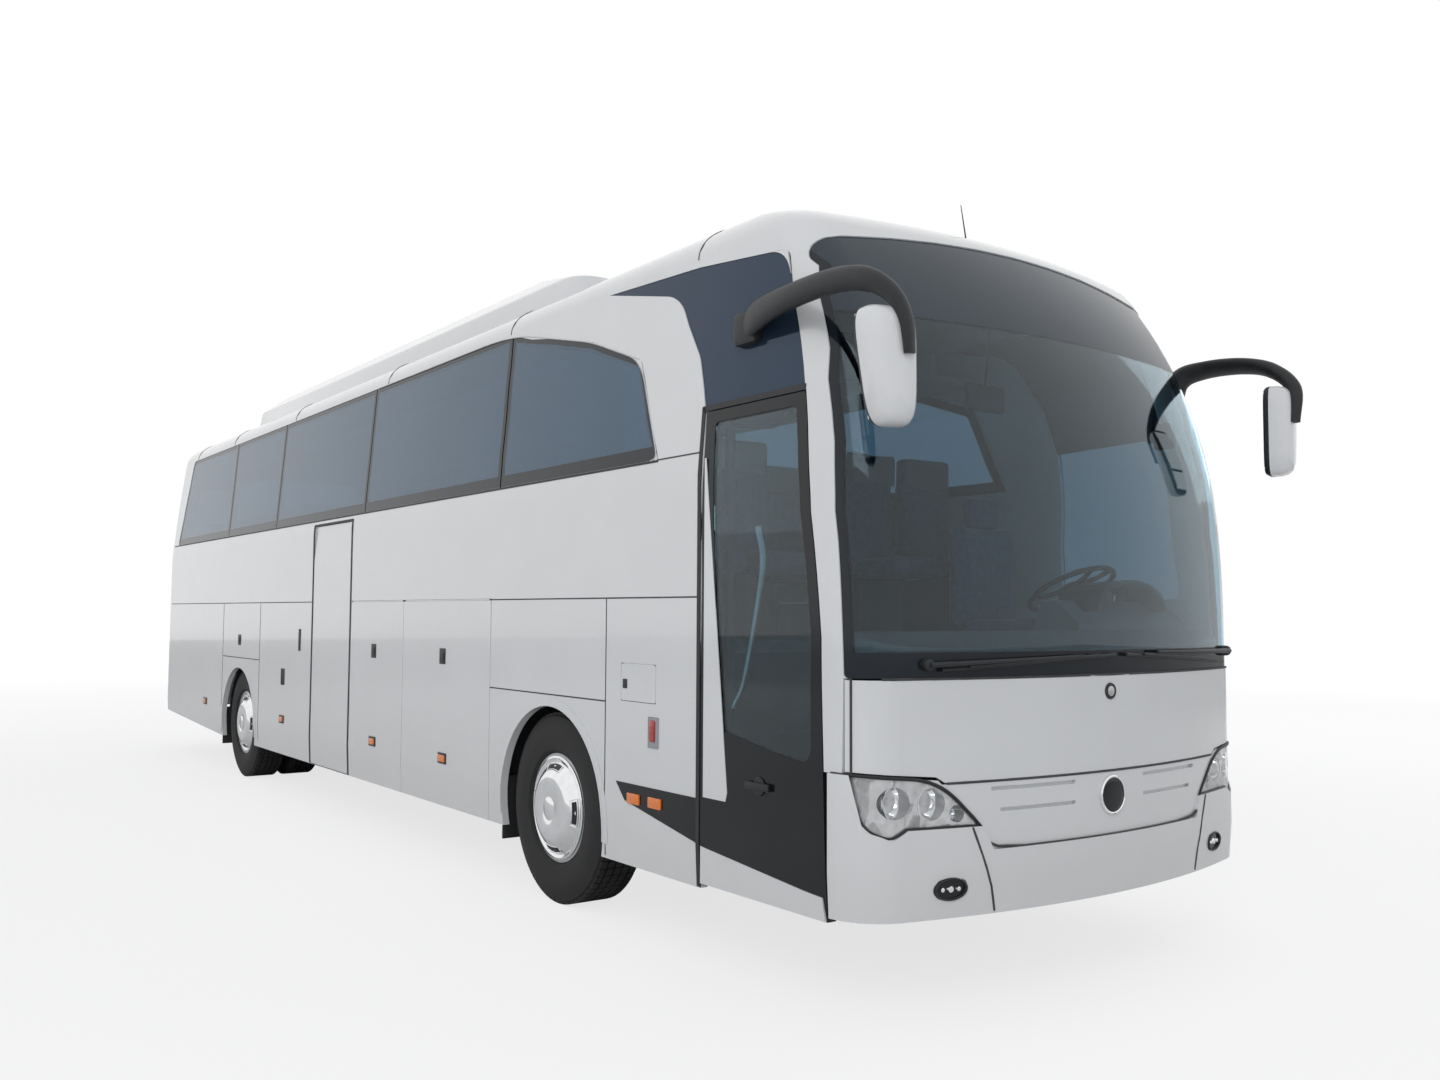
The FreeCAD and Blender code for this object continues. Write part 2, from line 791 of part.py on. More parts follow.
def door_lugs(name, edge, bar_heights):
    """The lugs inside a door leaf that turn on the arms' pins."""
    tip_x = s.axle_ahead_of_origin.value + edge + post_from_edge + arm_reach
    post_y = -(s.half_width.value - post_inset)
    lugs = []
    for count, height in enumerate(bar_heights):
        low = height + 16 + s.seat_gap.value
        body = box(
            f"{name}_lug_{count}",
            (tip_x - 28, tip_x + 28),
            (-(s.half_width - s.door_thick) - 2, post_y + 22),
            (low, low + lug_height),
        )
        pin_at = (tip_x, post_y, height)
        hole = cylinder(f"{name}_lug_hole_{count}", pin_radius + s.seat_gap, 200, pin_at, "z")
        lugs.append(cut(f"{name}_bored_lug_{count}", body, [hole]))
    return lugs


door_layer = band("door_layer", 0, s.door_thick.value)
front_bars = (620, 2418)
mid_bars = (620, 2080)
door_leaf_outline = shrunk(front_door_outline, s.moving_gap.value)
door_window = [
    (1560, 1063, 60),
    (1900, 1003, 0),
    (door_front_at(968) - 77, 968, 60),
    (door_front_at(1475) - 64, 1475, 0),
    (s.door_front_high.value - 63, s.door_top.value - 60, 30),
    (1493, s.door_top.value - 60, 30),
]
leaf_block = common("front_door_block", door_layer, right_prism("front_door_prism", door_leaf_outline))
door_window_prism = right_prism("door_window_prism", door_window)
leaf_frame = cut("front_door_frame", leaf_block, [door_window_prism])
node(fuse("front_door_leaf", [leaf_frame] + door_lugs("front_door", s.door_rear.value, front_bars)))
node(common("front_door_glass", glass_layer, door_window_prism))
front_post_low = s.door_low.value + s.sill_height.value + s.seat_gap.value
node(door_arm("front_door", s.door_rear.value, front_bars, front_post_low, 2452))

mid_block = common("mid_door_block", door_layer, right_prism("mid_door_prism", mid_door_outline))
node(fuse("mid_door_leaf", [mid_block] + door_lugs("mid_door", s.mid_door_rear.value, mid_bars)))
mid_post_low = s.luggage_floor_top.value + s.seat_gap.value
node(door_arm("mid_door", s.mid_door_rear.value, mid_bars, mid_post_low, 2230))

# The front end below the windscreen

FRONT_NEAR = s.axle_ahead_of_origin.value + s.door_front_low.value + 12
FRONT_FAR = s.axle_ahead_of_origin.value + FAR_AHEAD
bumper_proud = 14
lens_thick = 7
lamp_depth = 90
grille_top = 906
grille_low = 642
bumper_low = 391
lamp_outline = [(-1262, 950), (-939, 923), (-743, 737), (-1077, 739), (-1141, 701), (-1235, 741)]
lamp_bowls = ((2560, 1120, 842, 62), (2600, 965, 832, 62), (2610, 850, 790, 34))


def sharp(points):
    return [(a, b, 0) for a, b in points]


def other_side(points):
    return [(-a, b) for a, b in reversed(points)]


def front_shape(label, corners):
    return front_prism(label, corners, FRONT_NEAR, FRONT_FAR)


edge_x = s.pillar_low.value
flap_side = [(-1300, s.belt_height.value - 7), (-1300, 964), (-945, 936), (-905, grille_top + 6)]
flap_outline = sharp(flap_side + other_side(flap_side))
flap_sides = both_sides("front_flap_sides", rectangle(edge_x + s.moving_gap.value, FAR_AHEAD, 800, 1400))
flap_area = common("front_flap_area", front_shape("front_flap_shape", flap_outline), flap_sides)
flap_panel = common("front_flap_panel", thin_skin, flap_area)
front_hinge_z = s.belt_height - hinge_radius - s.seat_gap
front_hinge_x = ahead(s.front_reach - hinge_radius)
flap_barrel = cylinder("front_flap_barrel", hinge_radius, 260, (front_hinge_x, 0, front_hinge_z), "y")
node(fuse("front_flap", [flap_panel, flap_barrel]))

lens_layer = band("lens_layer", 0, lens_thick, SKIN_CHORDS)
lamp_layer = band("lamp_layer", lens_thick, lamp_depth)
lenses = []
lamp_bodies = []
for side, points in (("right", lamp_outline), ("left", other_side(lamp_outline))):
    lamp_shape = front_shape(f"lamp_shape_{side}", sharp(points))
    lenses.append(common(f"headlamp_lens_{side}", lens_layer, lamp_shape))
    lamp_block = common(f"headlamp_block_{side}", lamp_layer, lamp_shape)
    sign = -1 if side == "right" else 1
    bowls = [
        cylinder(f"bowl_{side}_{count}", radius, 220, (ahead(x), sign * y, z), "x")
        for count, (x, y, z, radius) in enumerate(lamp_bowls)
    ]
    lamp_bodies.append(cut(f"headlamp_housing_{side}", lamp_block, bowls))
node(gather("headlamp_bodies", lamp_bodies))

grille_side = [(-921, grille_top), (-743, 737), (-691, grille_low)]
grille_outline = sharp(grille_side + other_side(grille_side))
grille_layer = band("grille_layer", 0, 14, SKIN_CHORDS)
grille_backing = band("grille_backing", 14, 26, SKIN_CHORDS)
grille_shape = front_shape("grille_shape", grille_outline)
grooves = []
for count, (inner, outer, low, high) in enumerate(((230, 690, 870, 886), (230, 645, 786, 801))):
    for side, sign in (("right", -1), ("left", 1)):
        near, far = sorted((sign * inner, sign * outer))
        grooves.append(front_shape(f"groove_{side}_{count}", rectangle(near, far, low, high, 6)))
grille_front = cut("grille_front", common("grille_face", grille_layer, grille_shape), grooves)
node(fuse("grille_panel", [grille_front, common("grille_back", grille_backing, grille_shape)]))

bumper_side = [(-1400, bumper_low), (-1400, 950), (-1262, 950), (-1235, 741), (-1141, 701), (-1077, 739)]
bumper_side += [(-743, 737), (-691, grille_low)]
bumper_outline = sharp(bumper_side + other_side(bumper_side))
bumper_layer = band("bumper_layer", -bumper_proud, 30, SKIN_CHORDS)
bumper_sides = both_sides("bumper_sides", rectangle(s.door_front_low.value + 6, FAR_AHEAD, 300, 1000))
bumper_area = common("bumper_area", front_shape("bumper_shape", bumper_outline), bumper_sides)
fog_spans = (("right", (-963, -819)), ("left", (819, 963)))
fog_holes = [front_shape(f"fog_hole_{side}", rectangle(*span, 467, 543, 30)) for side, span in fog_spans]
node(cut("front_bumper", common("bumper_block", bumper_layer, bumper_area), fog_holes))
fog_layer = band("fog_layer", 4, 24, SKIN_CHORDS)
fog_lamps = [
    common(f"fog_lamp_{side}", fog_layer, front_shape(f"fog_shape_{side}", rectangle(*span, 467, 543, 30)))
    for side, span in fog_spans
]
node(gather("lamp_lenses", lenses + fog_lamps))

# The rear end

REAR_NEAR = s.axle_ahead_of_origin.value - 8900
REAR_FAR = s.axle_ahead_of_origin.value + FAR_BEHIND
rear_low = skirt_at(-s.rear_reach.value)
rear_outline = sharp(
    [
        (REAR_PANEL_X, skirt_at(REAR_PANEL_X)),
        (REAR_PANEL_X, s.window_top.value),
        (FAR_BEHIND, s.window_top.value),
        (FAR_BEHIND, rear_low),
        (-s.rear_reach.value, rear_low),
    ]
)


def rear_shape(label, corners):
    return front_prism(label, corners, REAR_FAR, REAR_NEAR)


rear_window_outline = [(-1010, 2330, 60), (1010, 2330, 60), (940, 3150, 80), (-940, 3150, 80)]
lid_half = 900
lid_low = 880
lid_high = 1780
lid_outline = rectangle(-lid_half, lid_half, lid_low, lid_high - hinge_edge, 20)
rear_window_shape = rear_shape("rear_window_shape", rear_window_outline)
lid_opening = rectangle(-lid_half - 6, lid_half + 6, lid_low - 6, lid_high + hinge_radius + s.seat_gap.value)
rear_lamp_outline = [(975, 1080, 20), (1180, 1080, 20), (1180, 1760, 60), (1060, 1760, 40), (975, 1500, 40)]
lamp_shapes = [
    rear_shape("rear_lamp_shape_left", rear_lamp_outline),
    rear_shape("rear_lamp_shape_right", [(-y, z, radius) for y, z, radius in reversed(rear_lamp_outline)]),
]
rear_block = common("rear_block", skin, both_sides("rear_prism", rear_outline))
rear_openings = [rear_window_shape, rear_shape("lid_opening", lid_opening)] + lamp_shapes
node(cut("rear_panel", rear_block, rear_openings))
node(common("rear_window", glass_layer, rear_window_shape))
lamp_skin = band("rear_lamp_layer", -4, 30)
rear_lamps = [common(f"rear_lamp_{count}", lamp_skin, shape) for count, shape in enumerate(lamp_shapes)]
node(gather("rear_lamps", rear_lamps))
lid_panel = common("engine_lid_panel", skin, rear_shape("engine_lid_shape", lid_outline))
lid_hinge_x = ahead(-level(lid_high, 0)[2] + hinge_radius)
lid_barrel = cylinder("engine_lid_barrel", hinge_radius, 500, (lid_hinge_x, 0, lid_high), "y")
node(fuse("engine_lid", [lid_panel, lid_barrel]))

# On the roof

hatch_thick = 24
for name, middle in hatch_places.items():
    base = s.roof_height + s.seat_gap
    half = roof_hatch_size / 2
    plate_x = (ahead(middle - half), ahead(middle + half))
    plate = box(f"hatch_plate_{name}", plate_x, (-half, half), (base, base + hatch_thick))
    rear_edge = ahead(middle - half - hinge_radius + 1)
    barrel = cylinder(f"hatch_barrel_{name}", hinge_radius, 400, (rear_edge, 0, base + hinge_radius), "y")
    node(fuse(f"roof_hatch_{name}", [plate, barrel]))


def rounded_ring(low, high, half, radius, chords=4):
    """Points of a rectangle with rounded corners, from low to high and half to each side."""
    corners = [(high, half, 0), (low, half, 90), (low, -half, 180), (high, -half, 270)]
    ring = []
    for x, y, turn in corners:
        centre = (x - math.copysign(radius, x - (low + high) / 2), y - math.copysign(radius, y))
        ring += arc_points(centre, radius, math.radians(turn), math.radians(turn + 90), chords)
    return ring


unit_corner = 150
unit_levels = [(-6900, -100, 1000, 3380), (-6830, -260, 985, 3560), (-6600, -900, 800, 3710)]
unit_rings = []
for rear, front, half, height in unit_levels:
    ring = rounded_ring(rear, front, half, unit_corner)
    unit_rings.append([Vector(s.axle_ahead_of_origin.value + x, y, height) for x, y in ring])
unit_block = panelled("roof_unit_block", unit_rings)
roof_outside = hull("roof_outside", 0)
node(cut("roof_unit", unit_block, [roof_outside]))

# Floors and the structure under them

inner_hull = hull("inner_hull", s.wall.value + s.seat_gap.value, WALL_CHORDS)
floor_low = s.floor_top - s.floor_thick
inner_half = s.half_width - s.wall - s.seat_gap
step_front = s.door_front_low - 40
platform_rear = s.door_rear - 120
well_inner = 420


def inside_body(label, shape):
    return common(label, shape, inner_hull)


main_floor = box(
    "main_floor", (ahead(-9400), ahead(platform_rear)), (-inner_half, inner_half), (floor_low, s.floor_top)
)
mid_well = box(
    "mid_well",
    (ahead(s.mid_door_rear - 20), ahead(s.mid_door_front + 20)),
    (-1300, -well_inner),
    (floor_low - 20, s.floor_top + 20),
)
node(cut("cabin_floor", inside_body("main_floor_trimmed", main_floor), [mid_well]))

bay_front = s.flap_split_front + 20
bay_rear = s.panel_split_rear + 40
bay_low = s.luggage_floor_top - s.luggage_floor_thick
wall_thick = 30
flap_clear = 8
bay_half = s.half_width - s.wall - flap_clear - s.tuck_side
bay_height = (bay_low, s.luggage_floor_top)
bay_floor = box("bay_floor", (ahead(bay_rear), ahead(bay_front)), (-bay_half, bay_half), bay_height)
well_half = s.half_width - s.wall - flap_clear


def bulkhead(label, x_rear, half):
    x = (ahead(x_rear), ahead(x_rear + wall_thick))
    return box(label, x, (-half, half), (s.luggage_floor_top, floor_low))


bay_walls = [
    bulkhead("bay_wall_front", bay_front - wall_thick, well_half),
    bulkhead("bay_wall_rear", bay_rear, well_half),
]
step_count = 4
step_rise = (s.floor_top - s.luggage_floor_top) / step_count


def steps(label, x_rear, x_front, y_out, low, rise, count, run):
    """A flight of steps that climbs inwards from a doorway."""
    treads = []
    for number in range(count):
        inner = y_out + run * (number + 1) if number < count - 1 else y_out + run * count
        treads.append(
            box(
                f"{label}_tread_{number}",
                (x_rear, x_front),
                (y_out + run * number, inner),
                (low, low + rise * (number + 1)),
            )
        )
    return fuse(label, treads)


mid_steps = steps(
    "mid_steps",
    ahead(s.mid_door_rear - 20),
    ahead(s.mid_door_front + 20),
    -well_half + 270,
    s.luggage_floor_top,
    step_rise,
    step_count - 1,
    (well_half - 270 - well_inner) / (step_count - 1),
)
mid_walls = [
    box(
        f"mid_wall_{name}",
        (ahead(x), ahead(x + wall_thick)),
        (-well_half, -well_inner),
        (s.luggage_floor_top, floor_low),
    )
    for name, x in (("rear", s.mid_door_rear - 20 - wall_thick), ("front", s.mid_door_front + 20))
]
platform = box(
    "platform",
    (ahead(platform_rear), ahead(step_front)),
    (-560, inner_half),
    (s.platform_top - s.floor_thick, s.platform_top),
)
platform_riser = box(
    "platform_riser",
    (ahead(platform_rear - wall_thick), ahead(platform_rear)),
    (-inner_half, inner_half),
    (s.platform_top - s.floor_thick, floor_low),
)
entry_low = s.door_low + 20
front_steps = steps(
    "front_steps",
    ahead(s.door_rear + 10),
    ahead(step_front),
    -well_half + 270,
    entry_low,
    (s.platform_top - entry_low) / 3,
    2,
    (well_half - 270 - 560) / 2,
)
entry_wall = box(
    "entry_wall",
    (ahead(s.door_rear - 50), ahead(s.door_rear + 10)),
    (-inner_half + 24, -560),
    (entry_low, s.platform_top),
)
entry_side = box(
    "entry_side", (ahead(s.door_rear - 50), ahead(step_front)), (-560, -530), (entry_low, s.platform_top)
)
front_sill = box(
    "front_sill",
    (ahead(s.door_rear - 50), ahead(step_front)),
    (-inner_half + 24, -well_half + 280),
    (entry_low, s.door_low + s.sill_height),
)
nose_wall = box("nose_wall", (ahead(step_front), ahead(step_front + 30)), (-1190, 1190), (480, s.belt_height))
rail_width = 70
rail_low = 640
rail_high = 800


def rail(label, x_rear, x_front, side):
    near, far = (s.frame_half_width - rail_width, s.frame_half_width)
    if side < 0:
        near, far = -far, -near
    return box(label, (x_rear, x_front), (near, far), (rail_low, rail_high))


frame_tail = -9380
front_rails = []
rear_rails = []
for name, side in (("right", -1), ("left", 1)):
    front_rails.append(rail(f"front_rail_{name}", ahead(bay_front), ahead(step_front), side))
    rear_rails.append(rail(f"rear_rail_{name}", ahead(frame_tail), ahead(bay_rear), side))
rear_posts = [
    box(f"rear_post_{name}", (ahead(frame_tail), ahead(frame_tail + 50)), near, (rail_high, floor_low))
    for name, near in (
        ("right", (-s.frame_half_width, -(s.frame_half_width - rail_width))),
        ("left", (s.frame_half_width - rail_width, s.frame_half_width)),
    )
]
structure = [bay_floor, mid_steps, platform, platform_riser, front_steps, front_sill, entry_wall, entry_side]
structure.append(nose_wall)
structure += bay_walls + mid_walls + front_rails + rear_rails + rear_posts
node(inside_body("underframe", fuse("underframe_pieces", structure)))

engine_block = box("engine_casing", (ahead(-9300), ahead(-7750)), (-390, 390), (470, 1340))
engine_mounts = [
    box(f"engine_mount_{x}_{side}", (ahead(x), ahead(x + 120)), near, (rail_high, 900))
    for x in (-9100, -8000)
    for side, near in (("right", (-s.frame_half_width, -390)), ("left", (390, s.frame_half_width)))
]
node(fuse("engine", [engine_block] + engine_mounts))

# Inside the cabin


def seat_pair(label, x_rear, y_low, y_high, floor):
    """One double seat: cushion and back, each a closed block with the real size."""
    y = (as_length(y_low), as_length(y_high))
    x = as_length(x_rear) + s.axle_ahead_of_origin
    cushion = box(f"{label}_cushion", (x + 120, x + 560), y, (floor + 330, floor + 450))
    back = box(f"{label}_back", (x, x + 120 - s.seat_gap), y, (floor + 330, floor + 1080))
    return [cushion, back]


def seat_leg(label, x_rear, y_low, y_high, floor):
    x = as_length(x_rear) + s.axle_ahead_of_origin
    middle = (y_low + y_high) / 2
    return box(f"{label}_leg", (x + 150, x + 500), (middle - 30, middle + 30), (floor, floor + 330))


seat_pitch = 790
seat_front_row = 560
aisle_half = 210
seat_outer = 1175
seat_inner = aisle_half + 40
seat_sides = (("right", (-seat_outer, -seat_inner)), ("left", (seat_inner, seat_outer)))
seat_shapes = []
seat_legs = []
for row in range(12):
    x = seat_front_row - seat_pitch * row
    for side, (y_low, y_high) in seat_sides:
        over_well = side == "right" and s.mid_door_rear.value - 600 < x < s.mid_door_front.value + 60
        if over_well:
            continue
        seat_shapes += seat_pair(f"seat_{side}_{row}", x, y_low, y_high, s.floor_top)
        seat_legs.append(seat_leg(f"seat_{side}_{row}", x, y_low, y_high, s.floor_top))
node(gather("passenger_seats", seat_shapes))
node(gather("seat_legs", seat_legs))

driver_seat_x = 1330
driver_y = 620
driver_pieces = [
    box("driver_cushion", (ahead(driver_seat_x + 110), ahead(driver_seat_x + 590)), (370, 870), (1430, 1550)),
    box("driver_back", (ahead(driver_seat_x), ahead(driver_seat_x + 112)), (370, 870), (1430, 2220)),
    box(
        "driver_pedestal",
        (ahead(driver_seat_x + 180), ahead(driver_seat_x + 520)),
        (480, 760),
        (s.platform_top, 1432),
    ),
]
node(fuse("driver_seat", driver_pieces))

rack_section = [(745, 2950), (1300, 2950), (1300, 2985), (790, 2985), (780, 3110), (745, 3110)]
rack_hull = hull("rack_hull", glass_inset + s.frame_thick.value + s.seat_gap.value, WALL_CHORDS)
racks = []
for side, points in (("right", other_side(rack_section)), ("left", rack_section)):
    x_rear = s.axle_ahead_of_origin.value - 8800
    x_front = s.axle_ahead_of_origin.value + 900
    prism = front_prism(f"rack_prism_{side}", sharp(points), x_rear, x_front)
    racks.append(common(f"parcel_rack_{side}", prism, rack_hull))
node(gather("parcel_racks", racks))

dash_low = s.belt_height.value + s.seat_gap.value
dash_section = [(2262, dash_low), (2800, dash_low), (2800, 1400), (2500, 1440), (2330, 1500), (2262, 1490)]
console_section = [(2030, 1180), (2240, 1180), (2240, dash_low), (2330, dash_low), (2330, 1530), (2200, 1640)]
console_section += [(2110, 1630), (2050, 1480)]
dash_shelf = side_prism("dash_shelf", sharp(dash_section), -1300, 1300)
dash_console = side_prism("dash_console", sharp(console_section), 230, 1060)
dash_whole = inside_body("dashboard_whole", fuse("dashboard_pieces", [dash_shelf, dash_console]))

wheel_tilt = 28
steering_centre = Vector(s.axle_ahead_of_origin.value + 1985, driver_y, 1700)
steering_turn = Rotation(Vector(0, 1, 0), -wheel_tilt)
grip_sides = 28
grip_discs = []
for radius in (232, 208):
    ring = arc_points((0, 0), radius, 0, math.tau, grip_sides)
    disc = Part.Face(Part.makePolygon([Vector(x, y, -14) for x, y in ring[:-1] + ring[:1]]))
    grip_discs.append(disc.extrude(Vector(0, 0, 28)))
steering_rim = feature("steering_rim", grip_discs[0].cut(grip_discs[1]))
steering_hub = doc.addObject("Part::Cylinder", "steering_hub")
steering_hub.Radius = 55
steering_hub.Height = 36
steering_spokes = []
for count in range(3):
    spoke = doc.addObject("Part::Box", f"steering_spoke_{count}")
    spoke.Length = 185
    spoke.Width = 30
    spoke.Height = 12
    spoke.Placement = Placement(Vector(0, 0, 0), Rotation(Vector(0, 0, 1), 120 * count)).multiply(
        Placement(Vector(35, -15, -6), Rotation())
    )
    steering_spokes.append(spoke)
steering_hub.Placement = Placement(Vector(0, 0, -18), Rotation())
steering_column = doc.addObject("Part::Cylinder", "steering_column")
steering_column.Radius = 32
steering_column.Height = 190
steering_column.Placement = Placement(Vector(0, 0, -208), Rotation())
steering = fuse("steering_wheel", [steering_rim, steering_hub, steering_column] + steering_spokes)
steering.Placement = Placement(steering_centre, steering_turn)
node(steering)
node(cut("dashboard", dash_whole, [steering]))

# Running gear

kingpin_height = 130
beam_section_x = 55
beam_outline = [
    (-880, 470, 0),
    (-640, 470, 0),
    (-520, 400, 0),
    (520, 400, 0),
    (640, 470, 0),
    (880, 470, 0),
    (880, 555, 0),
    (620, 555, 0),
    (500, 490, 0),
    (-500, 490, 0),
    (-620, 555, 0),
    (-880, 555, 0),
]
axle_x = s.axle_ahead_of_origin.value
beam = front_prism("front_beam", beam_outline, axle_x - beam_section_x, axle_x + beam_section_x)
front_pads = [
    box(f"front_pad_{side}", (ahead(-90), ahead(90)), span, (480, rail_low))
    for side, span in (("right", (-460, -410)), ("left", (410, 460)))
]
eyes = []
bores = []
for side, sign in (("right", -1), ("left", 1)):
    kingpin_middle = (ahead(0), sign * s.kingpin_y, s.tyre_radius)
    eyes.append(cylinder(f"kingpin_eye_{side}", 52, kingpin_height, kingpin_middle, "z"))
    bores.append(cylinder(f"kingpin_bore_{side}", s.kingpin_radius + s.seat_gap, 400, kingpin_middle, "z"))
node(cut("front_axle", fuse("front_axle_block", [beam] + front_pads + eyes), bores))

spindle_radius = 45
hub_radius = 110
yoke_gap = 3


def knuckle(side, sign):
    """The yoke that turns on the kingpin and the spindle that carries the wheel."""
    half = kingpin_height / 2 + yoke_gap
    pin_middle = (ahead(0), sign * s.kingpin_y, s.tyre_radius)
    pin = cylinder(f"kingpin_{side}", s.kingpin_radius, 2 * half + 60, pin_middle, "z")
    y_near = (s.kingpin_y - 45) * sign
    y_far = (s.kingpin_y + 95) * sign
    low, high = (y_near, y_far) if sign > 0 else (y_far, y_near)
    arms = [
        box(
            f"yoke_{side}_{name}",
            (ahead(-45), ahead(45)),
            (low, high),
            (s.tyre_radius + centre - 18, s.tyre_radius + centre + 18),
        )
        for name, centre in (("upper", half + 18), ("lower", -half - 18))
    ]
    back_near = (s.kingpin_y + 60) * sign
    low, high = (back_near, y_far) if sign > 0 else (y_far, back_near)
    back = box(
        f"yoke_{side}_back",
        (ahead(-45), ahead(45)),
        (low, high),
        (s.tyre_radius - half - 36, s.tyre_radius + half + 36),
    )
    stub_middle = (s.kingpin_y + 90 + s.front_wheel_y + 60) / 2 * sign
    stub = cylinder(
        f"spindle_{side}",
        spindle_radius,
        s.front_wheel_y - s.kingpin_y - 30,
        (ahead(0), stub_middle, s.tyre_radius),
        "y",
    )
    return fuse(f"knuckle_{side}", [pin, back, stub] + arms)


for side, sign in (("right", -1), ("left", 1)):
    node(knuckle(side, sign))

axle_tube = cylinder(
    "axle_tube", 85, 2 * (s.rear_outer_y - s.twin_spacing * 1.5 - 20), (rear_axle_x, 0, s.tyre_radius), "y"
)
rear_spindles = cylinder(
    "rear_spindles", spindle_radius, 2 * (s.rear_outer_y + 60), (rear_axle_x, 0, s.tyre_radius), "y"
)
differential = cylinder("differential", 190, 230, (rear_axle_x, 0, s.tyre_radius), "y")
pinion_nose = box(
    "pinion_nose",
    (rear_axle_x + 100, rear_axle_x + 360),
    (-85, 85),
    (s.tyre_radius - 85, s.tyre_radius + 85),
)
rear_pads = [
    box(f"rear_pad_{side}", (rear_axle_x - 90, rear_axle_x + 90), span, (s.tyre_radius, rail_low))
    for side, span in (("right", (-460, -410)), ("left", (410, 460)))
]
node(fuse("rear_axle", [axle_tube, rear_spindles, differential, pinion_nose] + rear_pads))


def revolved(label, points, centre, sign):
    """A ring turned about the wheel's own axle from (radius, outwards) points."""
    body = doc.addObject("PartDesign::Body", label)
    sketch = body.newObject("Sketcher::SketchObject", f"{label}_section")
    plane = [item for item in body.Origin.OriginFeatures if item.Role == "XY_Plane"][0]
    sketch.AttachmentSupport = [(plane, "")]
    sketch.MapMode = "FlatFace"
    count = len(points)
    for index, (radius, out) in enumerate(points):
        following = points[(index + 1) % count]
        start = Vector(radius, sign * out, 0)
        end = Vector(following[0], sign * following[1], 0)
        sketch.addGeometry(Part.LineSegment(start, end), False)
    for index in range(count):
        sketch.addConstraint(Sketcher.Constraint("Coincident", index, 2, (index + 1) % count, 1))
    turn = body.newObject("PartDesign::Revolution", f"{label}_turn")
    turn.Profile = sketch
    turn.ReferenceAxis = (sketch, ["V_Axis"])
    turn.Angle = 360
    sketch.Visibility = False
    body.Tip = turn
    place(body, *centre)
    return body


half_tyre = s.tyre_width.value / 2
tyre_points = [
    (s.rim_radius.value + s.seat_gap.value, -half_tyre),
    (s.rim_radius.value + s.seat_gap.value, half_tyre),
    (s.tyre_radius.value, half_tyre),
    (s.tyre_radius.value, -half_tyre),
]
bore_radius = spindle_radius + s.seat_gap.value
rim = s.rim_radius.value
rim_edge = half_tyre - 30
rim_back = rim_edge - 40
front_rim_points = [
    (bore_radius, -rim_back),
    (rim, -rim_back),
    (rim, rim_edge),
    (120, rim_edge),
    (120, half_tyre + 5),
    (bore_radius, half_tyre + 5),
]
twin_edge = s.twin_spacing.value / 2 + rim_edge
hub_end = s.twin_spacing.value / 2 + half_tyre
rear_rim_points = [
    (bore_radius, -twin_edge),
    (rim, -twin_edge),
    (rim, twin_edge),
    (120, twin_edge),
    (120, hub_end),
    (bore_radius, hub_end),
]
for side, sign in (("right", -1), ("left", 1)):
    front_centre = (ahead(0), sign * s.front_wheel_y, s.tyre_radius)
    node(revolved(f"front_tyre_{side}", tyre_points, front_centre, sign))
    node(revolved(f"front_rim_{side}", front_rim_points, front_centre, sign))
    outer_centre = (rear_axle_x, sign * s.rear_outer_y, s.tyre_radius)
    inner_centre = (rear_axle_x, sign * (s.rear_outer_y - s.twin_spacing), s.tyre_radius)
    outer = revolved(f"rear_tyre_outer_{side}", tyre_points, outer_centre, sign)
    inner = revolved(f"rear_tyre_inner_{side}", tyre_points, inner_centre, sign)
    node(gather(f"rear_tyres_{side}", [outer, inner]))
    twin_centre = (rear_axle_x, sign * (s.rear_outer_y - s.twin_spacing / 2), s.tyre_radius)
    node(revolved(f"rear_rims_{side}", rear_rim_points, twin_centre, sign))

# Mirrors and wipers


def bar_along(label, points, radius, sides=8):
    """A bar of many sides along points, mitred at its bends."""
    path = [Vector(*point) for point in points]
    first = path[1] - path[0]
    across = first.cross(Vector(0, 0, 1)).normalize()
    upward = across.cross(first).normalize()
    turns = [math.tau * (count + 0.5) / sides for count in range(sides)]
    ring = [path[0] + (across * math.cos(turn) + upward * math.sin(turn)) * radius for turn in turns]
    rings = [ring]
    for index, place_now in enumerate(path[1:], 1):
        along = (place_now - path[index - 1]).normalize()
        onward = along
        if index + 1 < len(path):
            onward = (along + (path[index + 1] - place_now).normalize()).normalize()
        ring = [point + along * ((place_now - point).dot(onward) / along.dot(onward)) for point in ring]
        rings.append(ring)
    return panelled(label, rings)


def mirror_head(side, sign):
    """The mirror's shell, turned a little outwards about its own upright middle."""
    centre = Vector(axle_x + 2715, sign * 1350, 2485)
    half_width = 125
    half_height = 225
    rings = []
    for depth, shrink in ((0, 12), (60, 0), (130, 30), (165, 70)):
        outline = rounded_ring(shrink - half_width, half_width - shrink, half_height - shrink, 50)
        rings.append([Vector(depth - 60, across, up) for across, up in outline])
    shell = panelled(f"mirror_shell_{side}", rings)
    shell.Placement = Placement(centre, Rotation(Vector(0, 0, 1), sign * 18))
    return shell


